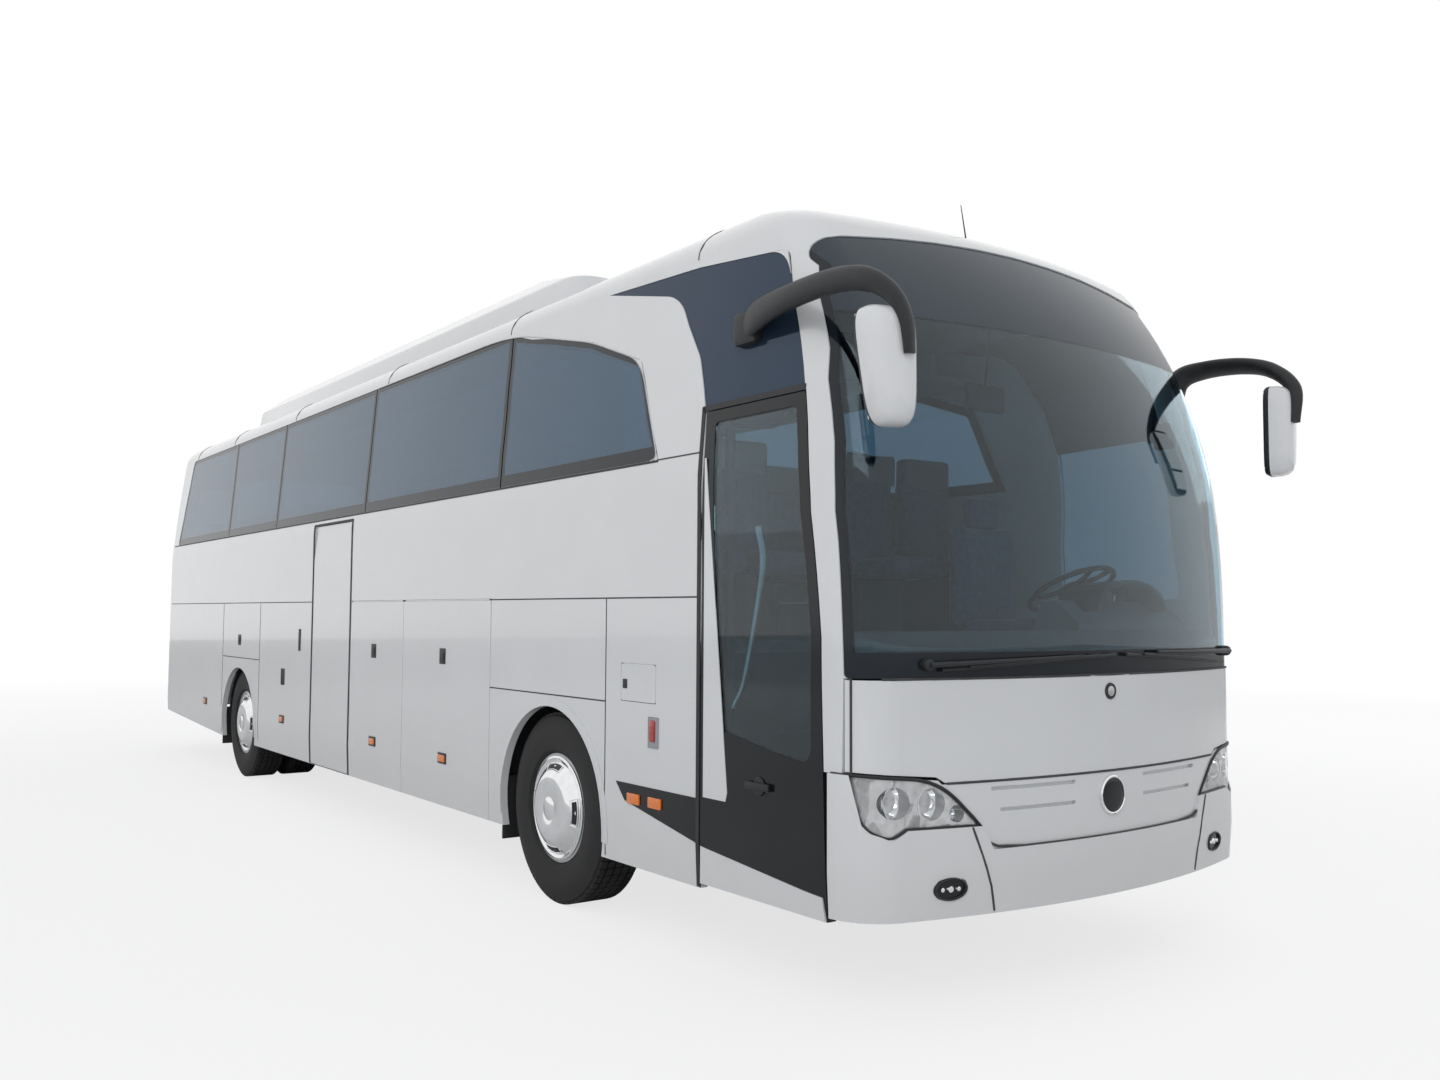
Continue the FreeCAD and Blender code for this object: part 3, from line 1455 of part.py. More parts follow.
heads = {side: mirror_head(side, sign) for side, sign in (("right", -1), ("left", 1))}
node(gather("mirror_heads", list(heads.values())))
arm_radius = 19
arm_right = [
    (axle_x + 1741, -1240, 2835),
    (axle_x + 1790, -1330, 2850),
    (axle_x + 2420, -1400, 2870),
    (axle_x + 2700, -1400, 2790),
    (axle_x + 2715, -1350, 2702),
]
arm_left = [
    (axle_x + 2150, 1272, 2560),
    (axle_x + 2170, 1300, 2900),
    (axle_x + 2500, 1380, 2880),
    (axle_x + 2700, 1365, 2790),
    (axle_x + 2715, 1350, 2702),
]
mirror_arms = []
glass_outside = hull("glass_outside", s.glass_recess.value)
for side, points, surface in (("right", arm_right, glass_outside), ("left", arm_left, roof_outside)):
    x, y, z = points[0]
    foot_block = cylinder(f"mirror_foot_block_{side}", 34, 90, (x, y, z), "y")
    foot = cut(f"mirror_foot_{side}", foot_block, [surface])
    bar = cut(f"mirror_bar_{side}", bar_along(f"mirror_pipe_{side}", points, arm_radius), [heads[side]])
    mirror_arms.append(fuse(f"mirror_arm_{side}", [foot, bar]))
node(gather("mirror_arms", mirror_arms))

wiper_layer = band("wiper_layer", -26, -10, SKIN_CHORDS)
wiper_right = [(-1010, 1350), (-965, 1350), (-150, 1385), (-150, 1405), (-965, 1398), (-1010, 1398)]
wiper_left = [(1130, 1378), (1085, 1378), (250, 1395), (250, 1415), (1085, 1425), (1130, 1425)]
pivots = []
for side, (y, z) in (("right", (-988, 1374)), ("left", (1107, 1401))):
    pivots.append(front_shape(f"wiper_pivot_{side}", rectangle(y - 16, y + 16, z - 16, z + 16)))
pivot_layer = band("pivot_layer", -26, s.glass_recess.value, SKIN_CHORDS)
wipers = []
for side, outline, pivot in (("right", wiper_right, pivots[0]), ("left", wiper_left, pivots[1])):
    blade = common(f"wiper_arm_{side}", wiper_layer, front_shape(f"wiper_shape_{side}", sharp(outline)))
    boss = common(f"wiper_boss_{side}", pivot_layer, pivot)
    wipers.append(fuse(f"wiper_{side}", [blade, boss]))
node(gather("wipers", wipers))

# Check every object, then write one file for each node

doc.recompute()
faults = [obj.Label for obj in doc.Objects if "Invalid" in obj.State or "Error" in obj.State]
if faults:
    raise RuntimeError(f"failed to compute: {faults}")
os.makedirs("parts", exist_ok=True)
for label, obj in nodes.items():
    if obj.Shape.isNull() or not obj.Shape.isValid() or not obj.Shape.Solids:
        raise RuntimeError(f"no valid solid: {label}")
for label, obj in nodes.items():
    obj.Shape.exportStep(f"parts/{label}.step")
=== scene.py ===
"""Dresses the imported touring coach: smooth painted skin, glass, trim, wheels, lamps and cabin.

Every length is in metres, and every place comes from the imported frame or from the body's own formula.
"""

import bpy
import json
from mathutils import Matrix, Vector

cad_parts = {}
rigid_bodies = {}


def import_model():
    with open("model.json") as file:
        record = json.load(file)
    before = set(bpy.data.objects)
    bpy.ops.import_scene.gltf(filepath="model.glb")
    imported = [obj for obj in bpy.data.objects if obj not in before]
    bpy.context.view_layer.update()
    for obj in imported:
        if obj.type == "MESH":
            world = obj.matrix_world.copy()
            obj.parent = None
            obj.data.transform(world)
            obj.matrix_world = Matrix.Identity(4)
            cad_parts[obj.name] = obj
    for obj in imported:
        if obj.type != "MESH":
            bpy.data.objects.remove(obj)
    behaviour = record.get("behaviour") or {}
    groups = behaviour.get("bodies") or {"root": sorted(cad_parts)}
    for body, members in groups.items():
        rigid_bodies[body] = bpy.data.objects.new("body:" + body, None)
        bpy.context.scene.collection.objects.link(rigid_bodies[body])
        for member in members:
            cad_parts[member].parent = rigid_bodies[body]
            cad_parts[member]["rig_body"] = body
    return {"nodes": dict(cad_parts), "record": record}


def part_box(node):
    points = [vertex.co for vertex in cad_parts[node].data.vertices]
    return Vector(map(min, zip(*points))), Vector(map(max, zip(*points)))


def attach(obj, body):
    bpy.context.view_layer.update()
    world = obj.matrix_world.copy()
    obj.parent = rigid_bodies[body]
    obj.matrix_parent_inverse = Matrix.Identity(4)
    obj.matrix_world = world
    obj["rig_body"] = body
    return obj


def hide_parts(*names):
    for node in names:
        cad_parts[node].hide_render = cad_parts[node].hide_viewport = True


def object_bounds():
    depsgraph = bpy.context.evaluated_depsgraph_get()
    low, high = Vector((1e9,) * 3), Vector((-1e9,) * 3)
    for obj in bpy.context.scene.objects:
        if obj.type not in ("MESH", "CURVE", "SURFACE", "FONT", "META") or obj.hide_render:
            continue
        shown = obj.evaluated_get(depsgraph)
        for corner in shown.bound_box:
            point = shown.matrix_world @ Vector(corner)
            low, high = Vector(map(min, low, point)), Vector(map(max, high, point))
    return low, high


bl_info = {
    "name": "Touring coach dressing",
    "version": (1, 0, 0),
    "blender": (4, 5, 0),
    "location": "3D View > Sidebar > Coach",
    "description": "Adds skin, glass, trim, wheels, lamps and cabin to the packed coach",
    "category": "Object",
}

import json
import math

import bmesh
import bpy
import numpy as np
from bpy.props import FloatProperty, FloatVectorProperty, IntProperty, PointerProperty
from mathutils import Matrix, Vector

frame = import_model()
cad_low, cad_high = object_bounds()


def middle(node, axis):
    """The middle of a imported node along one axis."""
    return sum(corner[axis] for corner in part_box(node)) / 2


AXLE_X = middle("front_tyre_right", 0)
REAR_AXLE_X = middle("rear_tyres_right", 0)
TYRE_RADIUS = middle("front_tyre_right", 2)
HALF_WIDTH = -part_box("luggage_flap_right_front")[0].y
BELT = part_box("windscreen")[0].z
ROOF_EDGE = 3.25
ROOF_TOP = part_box("roof_shell")[1].z
SIDES = (-1, 1)


def ahead(distance):
    """The x of a place that lies this far ahead of the front axle."""
    return AXLE_X + distance


# Sizes and colours that a user would change


class CoachColours(bpy.types.PropertyGroup):
    paint: FloatVectorProperty(
        name="Body paint", description="Gloss paint of the body", subtype="COLOR", size=3, default=(0.7, 0.71, 0.725)
    )
    tint: FloatVectorProperty(
        name="Side glass", description="Tint of the side glass", subtype="COLOR", size=3, default=(0.17, 0.27, 0.37)
    )
    screen: FloatVectorProperty(
        name="Windscreen", description="Tint of the windscreen", subtype="COLOR", size=3, default=(0.38, 0.54, 0.62)
    )
    trim: FloatVectorProperty(
        name="Black trim", description="Rubber and black trim", subtype="COLOR", size=3, default=(0.018, 0.019, 0.021)
    )
    cloth: FloatVectorProperty(
        name="Seat cloth", description="Cloth of the seats", subtype="COLOR", size=3, default=(0.07, 0.1, 0.17)
    )


class CoachSizes(bpy.types.PropertyGroup):
    seam_width: FloatProperty(
        name="Seam width", description="Width of a panel seam", unit="LENGTH", default=0.007, min=0.002, max=0.02
    )
    seal_width: FloatProperty(
        name="Seal width", description="Width of a door seal", unit="LENGTH", default=0.026, min=0.01, max=0.05
    )
    tread_depth: FloatProperty(
        name="Tread depth", description="Depth of the tyre grooves", unit="LENGTH", default=0.012, min=0.004, max=0.02
    )
    tread_blocks: IntProperty(name="Tread blocks", description="Blocks round one rib", default=64, min=24, max=96)
    cushion_cell: FloatProperty(
        name="Cushion cell", description="Voxel size of a cushion", unit="LENGTH", default=0.03, min=0.01, max=0.06
    )


def sizes():
    return bpy.context.scene.coach_sizes


# The body's skin as a formula: plan rings with an arc at each end and an arc at each corner


SKIN = {
    "rear_reach": 9.475,
    "front_reach": 2.668,
    "front_rake": 0.498,
    "rear_rake": 0.225,
    "front_dome": 0.516,
    "rear_dome": 0.42,
    "side_lean": 0.085,
    "lean_from": 2.2,
    "shoulder": 0.33,
    "tuck_height": 0.56,
    "tuck_side": 0.025,
    "tuck_end": 0.04,
}
END_ARCS = {1: (4.1, 0.23), -1: (9.0, 0.3)}
FACE_CHORDS = 4
CORNER_CHORDS = 4
SIDE_RUN = FACE_CHORDS + 1 + CORNER_CHORDS
RUNS = 2 * SIDE_RUN + 1
STATIONS = np.array(
    [0.2, SKIN["tuck_height"], BELT]
    + [BELT + (ROOF_EDGE - BELT) * share for share in (0.34, 0.62, 0.82, 1.0)]
    + [ROOF_EDGE + (ROOF_TOP - ROOF_EDGE) * math.sin(math.radians(turn)) for turn in (30, 60, 90)]
)


def skin_level(z):
    """Half width, front reach and rear reach of the skin at heights z."""
    z = np.asarray(z, float)
    climb = ROOF_EDGE - BELT
    leaning = np.clip((z - BELT) / climb, 0, 1) ** 3
    over = np.maximum(z - ROOF_EDGE, 0)
    share = np.minimum(over / (ROOF_TOP - ROOF_EDGE), 1)
    curl = 1 - np.sqrt(np.maximum(1 - share**2, 0))
    low = np.maximum(SKIN["tuck_height"] - z, 0) / SKIN["tuck_height"]
    rake = leaning + 3 * over / climb
    front, rear = (
        SKIN[f"{end}_reach"] - SKIN[f"{end}_rake"] * rake - SKIN[f"{end}_dome"] * curl - SKIN["tuck_end"] * low
        for end in ("front", "rear")
    )
    lean = SKIN["side_lean"] * np.maximum(z - SKIN["lean_from"], 0) / (ROOF_EDGE - SKIN["lean_from"])
    half = HALF_WIDTH - lean - SKIN["shoulder"] * curl - SKIN["tuck_side"] * low
    return half, front, rear


EDGE_HALF = float(skin_level(ROOF_EDGE)[0])


def end_arcs(z, end):
    """Arc centre, arc radius, corner centre, corner radius and meeting angle of one end at heights z."""
    half, front, rear = skin_level(z)
    reach = front if end > 0 else rear
    base_radius, corner = END_ARCS[end]
    angle = math.asin((EDGE_HALF - 0.001 - corner) / (base_radius - corner))
    share = np.where(z > ROOF_EDGE, (half - corner) / (EDGE_HALF - corner), 1.0)
    radius = (base_radius - corner) * share + corner
    centre = reach - radius
    corner_y = half - corner
    slide = corner_y - (radius - corner) * math.sin(angle)
    corner_x = centre + (radius - corner) * math.cos(angle) - slide * math.tan(angle)
    return centre, radius, corner_x, corner_y, corner, angle


def skin_point(run, share, z):
    """Plan point and plan normal angle on a run of the half ring: runs go from nose to tail."""
    z = np.asarray(z, float)
    share = np.asarray(share, float)
    if run == SIDE_RUN:
        front = end_arcs(z, 1)
        rear = end_arcs(z, -1)
        x = front[2] + (-rear[2] - front[2]) * share
        return x, front[3] + front[4], np.full(z.shape, math.pi / 2)
    end = 1 if run < SIDE_RUN else -1
    if end < 0:
        run = 2 * SIDE_RUN - run
        share = 1 - share
    centre, radius, corner_x, corner_y, corner, angle = end_arcs(z, end)
    if run < FACE_CHORDS:
        turn = angle * (run + share) / FACE_CHORDS
        x = centre + radius * np.cos(turn)
        y = radius * np.sin(turn)
    elif run == FACE_CHORDS:
        turn = np.full(z.shape, angle)
        x_one = centre + radius * math.cos(angle)
        y_one = radius * math.sin(angle)
        x = x_one + (corner_x + corner * math.cos(angle) - x_one) * share
        y = y_one + (corner_y + corner * math.sin(angle) - y_one) * share
    else:
        turn = angle + (math.pi / 2 - angle) * (run - FACE_CHORDS - 1 + share) / CORNER_CHORDS
        x = corner_x + corner * np.cos(turn)
        y = corner_y + corner * np.sin(turn)
    if end < 0:
        return -x, y, math.pi - turn
    return x, y, turn


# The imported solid's ring corners at each station, for y above zero
CHORDS = np.array(
    [np.stack(skin_point(min(run, RUNS - 1), np.full(len(STATIONS), run // RUNS), STATIONS)[:2], 1)
     for run in range(RUNS + 1)]
)


def skin_fit(points):
    """For points near the skin: how far to move them and the skin's normal there."""
    points = np.asarray(points, float)
    plan = np.stack([points[:, 0] - AXLE_X, np.abs(points[:, 1])], 1)
    z = points[:, 2]
    best = np.full(len(points), 1e9)
    move = np.zeros((len(points), 3))
    normal = np.zeros((len(points), 3))
    corners = [np.stack([np.interp(z, STATIONS, chord[:, axis]) for axis in (0, 1)], 1) for chord in CHORDS]
    for run in range(RUNS):
        start = corners[run]
        along = corners[run + 1] - start
        length = np.maximum((along**2).sum(1), 1e-12)
        share = np.clip(((plan - start) * along).sum(1) / length, 0, 1)
        on_chord = start + along * share[:, None]
        distance = np.sqrt(((plan - on_chord) ** 2).sum(1))
        x, y, turn = skin_point(run, share, z)
        x_up, y_up, _ = skin_point(run, share, z + 0.002)
        x_down, y_down, _ = skin_point(run, share, z - 0.002)
        slope = ((x_up - x_down) * np.cos(turn) + (y_up - y_down) * np.sin(turn)) / 0.004
        nearer = distance < best
        best = np.where(nearer, distance, best)
        shift = np.stack([x, y], 1) - on_chord
        move[nearer, :2] = shift[nearer]
        normal[nearer] = np.stack([np.cos(turn), np.sin(turn), -slope], 1)[nearer]
    move *= np.clip(1.25 - best / 0.2, 0, 1)[:, None]
    normal[z > ROOF_TOP - 0.0015] = (0, 0, 1)
    side = np.where(points[:, 1] < 0, -1.0, 1.0)
    move[:, 1] *= side
    normal[:, 1] *= side
    normal /= np.linalg.norm(normal, axis=1)[:, None]
    return move, normal


def front_point(y, z, proud=0.0):
    """The point of the windscreen or nose surface at this y and z, standing proud of it, and its normal."""
    shares = np.linspace(0, 1, 40)
    best = None
    for run in range(SIDE_RUN):
        x, y_ring, _ = skin_point(run, shares, np.full(40, z))
        index = int(np.argmin(np.abs(y_ring - abs(y))))
        gap = abs(y_ring[index] - abs(y))
        if best is None or gap < best[0] - 1e-9:
            best = (gap, x[index])
    place = np.array([[ahead(best[1]), math.copysign(abs(y), y), z]])
    normal = Vector(skin_fit(place)[1][0])
    return Vector(place[0]) + normal * proud, normal


# Finishes: colour or colour setting, roughness, pattern scale, colour shift, grain, grain scale, other inputs


FINISHES = {
    "body_paint": ("paint", 0.16, 2.5, 0.015, 0.02, 900.0, {"Coat Weight": 0.7, "Coat Roughness": 0.04}),
    "side_glass_tint": ("tint", 0.02, 0.8, 0.05, 0, 0, {
        "Transmission Weight": 0.7, "IOR": 1.5, "Specular Tint": (0.45, 0.66, 0.95, 1)
    }),
    "dark_glass_panel": ((0.02, 0.035, 0.06), 0.03, 0.8, 0.1, 0, 0, {
        "IOR": 1.5, "Specular Tint": (0.4, 0.55, 0.8, 1)
    }),
    "glass_black_border": ((0.012, 0.016, 0.022), 0.08, 2.0, 0.15, 0, 0, {"Specular IOR Level": 0.35}),
    "screen_shade": ((0.05, 0.075, 0.1), 0.03, 1.2, 0.1, 0, 0, {
        "Transmission Weight": 0.45, "IOR": 1.45, "Specular IOR Level": 0.4
    }),
    "windscreen_glass": ("screen", 0.01, 0.8, 0.02, 0, 0, {
        "Transmission Weight": 1.0, "IOR": 1.45, "Specular IOR Level": 0.4
    }),
    "clear_lens": ((0.93, 0.94, 0.95), 0.02, 4.0, 0.02, 0, 0, {"Transmission Weight": 1.0, "IOR": 1.4}),
    "black_gloss": ((0.01, 0.011, 0.013), 0.12, 3.0, 0.2, 0, 0, {"Specular IOR Level": 0.35}),
    "black_rubber": ("trim", 0.55, 30.0, 0.25, 0.25, 500.0, {}),
    "black_plastic": ((0.02, 0.021, 0.023), 0.42, 20.0, 0.2, 0.35, 700.0, {"Specular IOR Level": 0.35}),
    "seam_shadow": ((0.05, 0.05, 0.052), 0.7, 12.0, 0.3, 0, 0, {}),
    "bright_chrome": ((0.82, 0.83, 0.84), 0.1, 18.0, 0.05, 0.05, 200.0, {"Metallic": 1.0}),
    "wheel_metal": ((0.5, 0.505, 0.51), 0.32, 22.0, 0.12, 0.15, 320.0, {"Metallic": 0.9}),
    "tyre_rubber": ((0.016, 0.016, 0.017), 0.75, 14.0, 0.35, 0.4, 260.0, {}),
    "chassis_paint": ((0.028, 0.028, 0.03), 0.6, 9.0, 0.35, 0.4, 180.0, {}),
    "cast_metal": ((0.07, 0.068, 0.066), 0.6, 12.0, 0.3, 0.5, 150.0, {"Metallic": 0.6}),
    "amber_lens": ((0.8, 0.2, 0.015), 0.1, 80.0, 0.2, 0.3, 500.0, {"Coat Weight": 0.6}),
    "red_lens": ((0.42, 0.012, 0.012), 0.1, 60.0, 0.2, 0.3, 400.0, {"Coat Weight": 0.8}),
    "lamp_housing": ((0.62, 0.62, 0.63), 0.3, 30.0, 0.15, 0.2, 60.0, {"Metallic": 0.5}),
    "mirror_silver": ((0.85, 0.87, 0.88), 0.03, 8.0, 0.02, 0, 0, {"Metallic": 1.0}),
    "cabin_plastic": ((0.16, 0.165, 0.175), 0.5, 9.0, 0.12, 0.5, 600.0, {}),
    "pale_lining": ((0.34, 0.36, 0.39), 0.7, 7.0, 0.06, 0.3, 400.0, {}),
    "floor_covering": ((0.1, 0.1, 0.105), 0.65, 30.0, 0.35, 0.3, 300.0, {}),
    "seat_cloth": ("cloth", 0.85, 40.0, 0.3, 0, 0, {"Sheen Weight": 0.3}),
    "studio_floor_paint": ((0.82, 0.82, 0.82), 0.75, 0.6, 0.01, 0, 0, {}),
}
MATERIALS = {}


def set_inputs(tree, node, inputs):
    """Links each input that is given a socket, and sets the others."""
    for name, value in inputs.items():
        if isinstance(value, bpy.types.NodeSocket):
            tree.links.new(value, node.inputs[name])
        else:
            node.inputs[name].default_value = value


def add_node(tree, kind, inputs=None, **settings):
    node = tree.nodes.new(kind)
    for name, value in settings.items():
        setattr(node, name, value)
    set_inputs(tree, node, inputs or {})
    return node


def add_math(tree, operation, one, two):
    return add_node(tree, "ShaderNodeMath", {0: one, 1: two}, operation=operation).outputs["Value"]


def add_lower_greying(tree, shader, place):
    """Greys the paint colour lower down on the body: none at 1 m, rising to 0.16 at 0.3 m and below."""
    height = add_node(tree, "ShaderNodeSeparateXYZ", {"Vector": place}).outputs["Z"]
    share = add_node(
        tree, "ShaderNodeMapRange", {"Value": height, "From Min": 1.0, "From Max": 0.3, "To Max": 0.16}
    )
    paint = shader.inputs["Base Color"].links[0].from_socket
    inputs = {"Factor": share.outputs["Result"], "A": paint, "B": (0.5, 0.49, 0.47, 1)}
    greyed = add_node(tree, "ShaderNodeMix", inputs, data_type="RGBA")
    set_inputs(tree, shader, {"Base Color": greyed.outputs["Result"]})


def add_weave(tree, shader, place):
    """Fine warp and weft waves."""
    threads = [
        add_node(
            tree, "ShaderNodeTexWave", {"Vector": place, "Scale": 130.0, "Distortion": 1.5}, bands_direction=direction
        ).outputs["Fac"]
        for direction in ("Y", "Z")
    ]
    add_bump(tree, shader, add_math(tree, "MULTIPLY", *threads), 0.5)


def add_bump(tree, shader, height, strength):
    bump = add_node(tree, "ShaderNodeBump", {"Height": height, "Strength": strength, "Distance": 0.002})
    set_inputs(tree, shader, {"Normal": bump.outputs["Normal"]})


def add_floor_glow(tree, shader, place):
    """Fades the floor to white away from the coach, for the camera and what is seen through glass."""
    rays = add_node(tree, "ShaderNodeLightPath").outputs
    seen = add_math(tree, "MAXIMUM", rays["Is Camera Ray"], rays["Is Transmission Ray"])
    reach = add_node(tree, "ShaderNodeVectorMath", {0: place}, operation="LENGTH").outputs["Value"]
    fade = add_node(tree, "ShaderNodeMapRange", {"Value": reach, "From Min": 5.0, "From Max": 22.0, "To Min": 0.75})
    share = add_math(tree, "MULTIPLY", seen, fade.outputs["Result"])
    glow = add_node(tree, "ShaderNodeEmission").outputs["Emission"]
    mix = add_node(tree, "ShaderNodeMixShader", {"Fac": share, 1: shader.outputs["BSDF"], 2: glow})
    set_inputs(tree, tree.nodes["Material Output"], {"Surface": mix.outputs["Shader"]})


EXTRAS = {"body_paint": add_lower_greying, "seat_cloth": add_weave, "studio_floor_paint": add_floor_glow}


def finish(name):
    """A surface whose colour and roughness vary slowly and whose grain is a fine bump, in object coordinates."""
    if name in MATERIALS:
        return MATERIALS[name]
    colour, roughness, scale, shift, grain, grain_scale, sockets = FINISHES[name]
    if isinstance(colour, str):
        colour = getattr(bpy.context.scene.coach_colours, colour)
    material = MATERIALS[name] = bpy.data.materials.new(name)
    material.use_nodes = True
    tree = material.node_tree
    shader = tree.nodes["Principled BSDF"]
    place = add_node(tree, "ShaderNodeTexCoord").outputs["Object"]
    cloud = add_node(tree, "ShaderNodeTexNoise", {"Vector": place, "Scale": scale, "Detail": 5.0}).outputs["Fac"]
    ramp = add_node(tree, "ShaderNodeValToRGB", {"Fac": cloud})
    for stop, position, share in zip(ramp.color_ramp.elements, (0.3, 0.7), (1 - shift, 1 + shift)):
        stop.position = position
        stop.color = (*[min(value * share, 1) for value in colour], 1)
    spread = {"Value": cloud, "To Min": roughness * 0.85, "To Max": min(roughness * 1.2, 1.0)}
    rough = add_node(tree, "ShaderNodeMapRange", spread).outputs["Result"]
    set_inputs(tree, shader, {"Base Color": ramp.outputs["Color"], "Roughness": rough, **sockets})
    if grain:
        fine = add_node(tree, "ShaderNodeTexNoise", {"Vector": place, "Scale": grain_scale, "Detail": 3.0})
        add_bump(tree, shader, fine.outputs["Fac"], grain)
    if name in EXTRAS:
        EXTRAS[name](tree, shader, place)
    return material


# Making and placing pieces


def new_object(name, data):
    item = bpy.data.objects.new(name, data)
    bpy.context.scene.collection.objects.link(item)
    return item


def solved_mesh(item):
    """A plain mesh of an object with its modifiers."""
    return bpy.data.meshes.new_from_object(item.evaluated_get(bpy.context.evaluated_depsgraph_get()))


def mesh_of(work, name, smooth_angle=None):
    """Turns a bmesh into a mesh with outward faces, smooth up to an angle in degrees."""
    bmesh.ops.remove_doubles(work, verts=work.verts, dist=1e-6)
    bmesh.ops.recalc_face_normals(work, faces=work.faces)
    if smooth_angle is not None:
        limit = math.radians(smooth_angle)
        for face in work.faces:
            face.smooth = True
        for edge in work.edges:
            edge.smooth = len(edge.link_faces) == 2 and edge.calc_face_angle(0) < limit
    mesh = bpy.data.meshes.new(name)
    work.to_mesh(mesh)
    work.free()
    return mesh


def painted(mesh, *looks):
    for look in looks:
        mesh.materials.append(finish(look))
    return mesh


def add_piece(name, shape, look=None, slot="dark_trim", body="coach", smooth=30, replaces=()):
    """Links a bmesh or mesh as a finished piece that rides on a body."""
    mesh = mesh_of(shape, name, smooth) if isinstance(shape, bmesh.types.BMesh) else shape
    if look:
        painted(mesh, look)
    piece = new_object(name, mesh)
    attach(piece, body)
    if replaces:
        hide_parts(*replaces)
    return piece


def joined(name, meshes):
    """One mesh from several, keeping their materials."""
    work = bmesh.new()
    materials = []
    for mesh in meshes:
        before = len(work.faces)
        work.from_mesh(mesh)
        materials += [material for material in mesh.materials if material not in materials]
        for face in list(work.faces)[before:]:
            face.material_index = materials.index(mesh.materials[face.material_index])
    result = bpy.data.meshes.new(name)
    work.to_mesh(result)
    work.free()
    for material in materials:
        result.materials.append(material)
    return result


def slot_of(node):
    return next(item["material_slot"] for item in frame["record"]["subparts"] if item["node"] == node)


def dress_nodes(look, *nodes):
    """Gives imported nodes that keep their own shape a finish."""
    for node in nodes:
        mesh = frame["nodes"][node].data
        mesh.materials.clear()
        painted(mesh, look)


def add_rings(work, rings, loop=False):
    """Adds a skin over rings of points and returns its bands: both ends are closed, or joined in a loop."""
    made = [[work.verts.new(point) for point in ring] for ring in rings]
    bands = []
    for one, two in zip(made, made[1:] + made[:loop]):
        around = list(zip(one, one[1:] + one[:1], two[1:] + two[:1], two))
        bands.append([work.faces.new(corners) for corners in around])
    if not loop:
        bands += [[work.faces.new(made[0][::-1])], [work.faces.new(made[-1])]]
    return bands


def add_shell(work, near, other):
    """Adds a closed shell between two outlines of as many 3-D points."""
    near = [work.verts.new(point) for point in near]
    other = [work.verts.new(point) for point in other]
    work.faces.new(near)
    work.faces.new(other[::-1])
    for index in range(len(near)):
        after = (index + 1) % len(near)
        work.faces.new((near[after], near[index], other[index], other[after]))


def add_prism(work, outline, far):
    """Adds a closed prism from an outline of 3-D points and the vector to its other end."""
    add_shell(work, outline, [Vector(point) + far for point in outline])


def add_block(work, low, high, bevel, turn=None):
    """Adds a box between two corners with its edges rounded."""
    made = bmesh.ops.create_cube(work, size=1.0)["verts"]
    centre = (Vector(low) + Vector(high)) / 2
    span = Vector(high) - Vector(low)
    for vert in made:
        vert.co = Vector(a * b for a, b in zip(vert.co, span))
        if turn is not None:
            vert.co = turn @ vert.co
        vert.co += centre
    edges = list({edge for vert in made for edge in vert.link_edges})
    bmesh.ops.bevel(work, geom=edges, offset=bevel, segments=2, affect="EDGES", profile=0.6)


def add_blocks(work, *rows):
    """Adds rounded boxes, each as low x, high x, low y, high y, low z, high z, edge, with x ahead of the axle."""
    for x0, x1, y0, y1, z0, z1, edge in rows:
        add_block(work, (ahead(x0), y0, z0), (ahead(x1), y1, z1), edge)
    return work


def blocks(*rows):
    return add_blocks(bmesh.new(), *rows)


def add_lathe(work, profile, centre, axis, steps=48):
    """Adds a surface turned about an axis from (radius, along) points: closed where the radius is zero."""
    axis = Vector(axis).normalized()
    across = axis.orthogonal().normalized()
    other = axis.cross(across)
    centre = Vector(centre)
    rings = []
    for radius, along in profile:
        turns = [math.tau * step / steps for step in range(steps if radius > 1e-6 else 1)]
        middle_point = centre + axis * along
        rings.append([
            work.verts.new(middle_point + (across * math.cos(turn) + other * math.sin(turn)) * radius)
            for turn in turns
        ])
    for one, two in zip(rings, rings[1:]):
        for step in range(steps):
            after = (step + 1) % steps
            corners = [one[step % len(one)], one[after % len(one)], two[after % len(two)], two[step % len(two)]]
            unique = list(dict.fromkeys(corners))
            if len(unique) > 2:
                work.faces.new(unique)


def add_tube(work, points, radius, sides=8):
    """Adds a bar along points with closed ends: its radius may change, and may be a (wide, tall) pair."""
    points = [Vector(point) for point in points]
    rings = []
    across = None
    for index, point in enumerate(points):
        along = (points[min(index + 1, len(points) - 1)] - points[max(index - 1, 0)]).normalized()
        if across is None:
            across = along.cross(Vector((0, 0, 1)))
            if across.length < 1e-3:
                across = along.cross(Vector((1, 0, 0)))
        across = (across - along * across.dot(along)).normalized()
        other = across.cross(along)
        size = radius[index] if isinstance(radius, list) else radius
        wide, tall = size if isinstance(size, tuple) else (size, size)
        turns = [math.tau * step / sides for step in range(sides)]
        rings.append(
            [point + across * (math.cos(turn) * wide) + other * (math.sin(turn) * tall) for turn in turns]
        )
    add_rings(work, rings)


def smooth_path(points, steps=8):
    """A smooth line of points through the given ones."""
    points = [Vector(point) for point in points]
    padded = [points[0] * 2 - points[1]] + points + [points[-1] * 2 - points[-2]]
    line = []
    for a, b, c, d in zip(padded, padded[1:], padded[2:], padded[3:]):
        for t in [step / steps for step in range(steps)]:
            bend = (2 * a - 5 * b + 4 * c - d) * t**2 + (3 * b - a - 3 * c + d) * t**3
            line.append(0.5 * ((2 * b) + (c - a) * t + bend))
    return line + [points[-1]]


# Repeats by geometry nodes


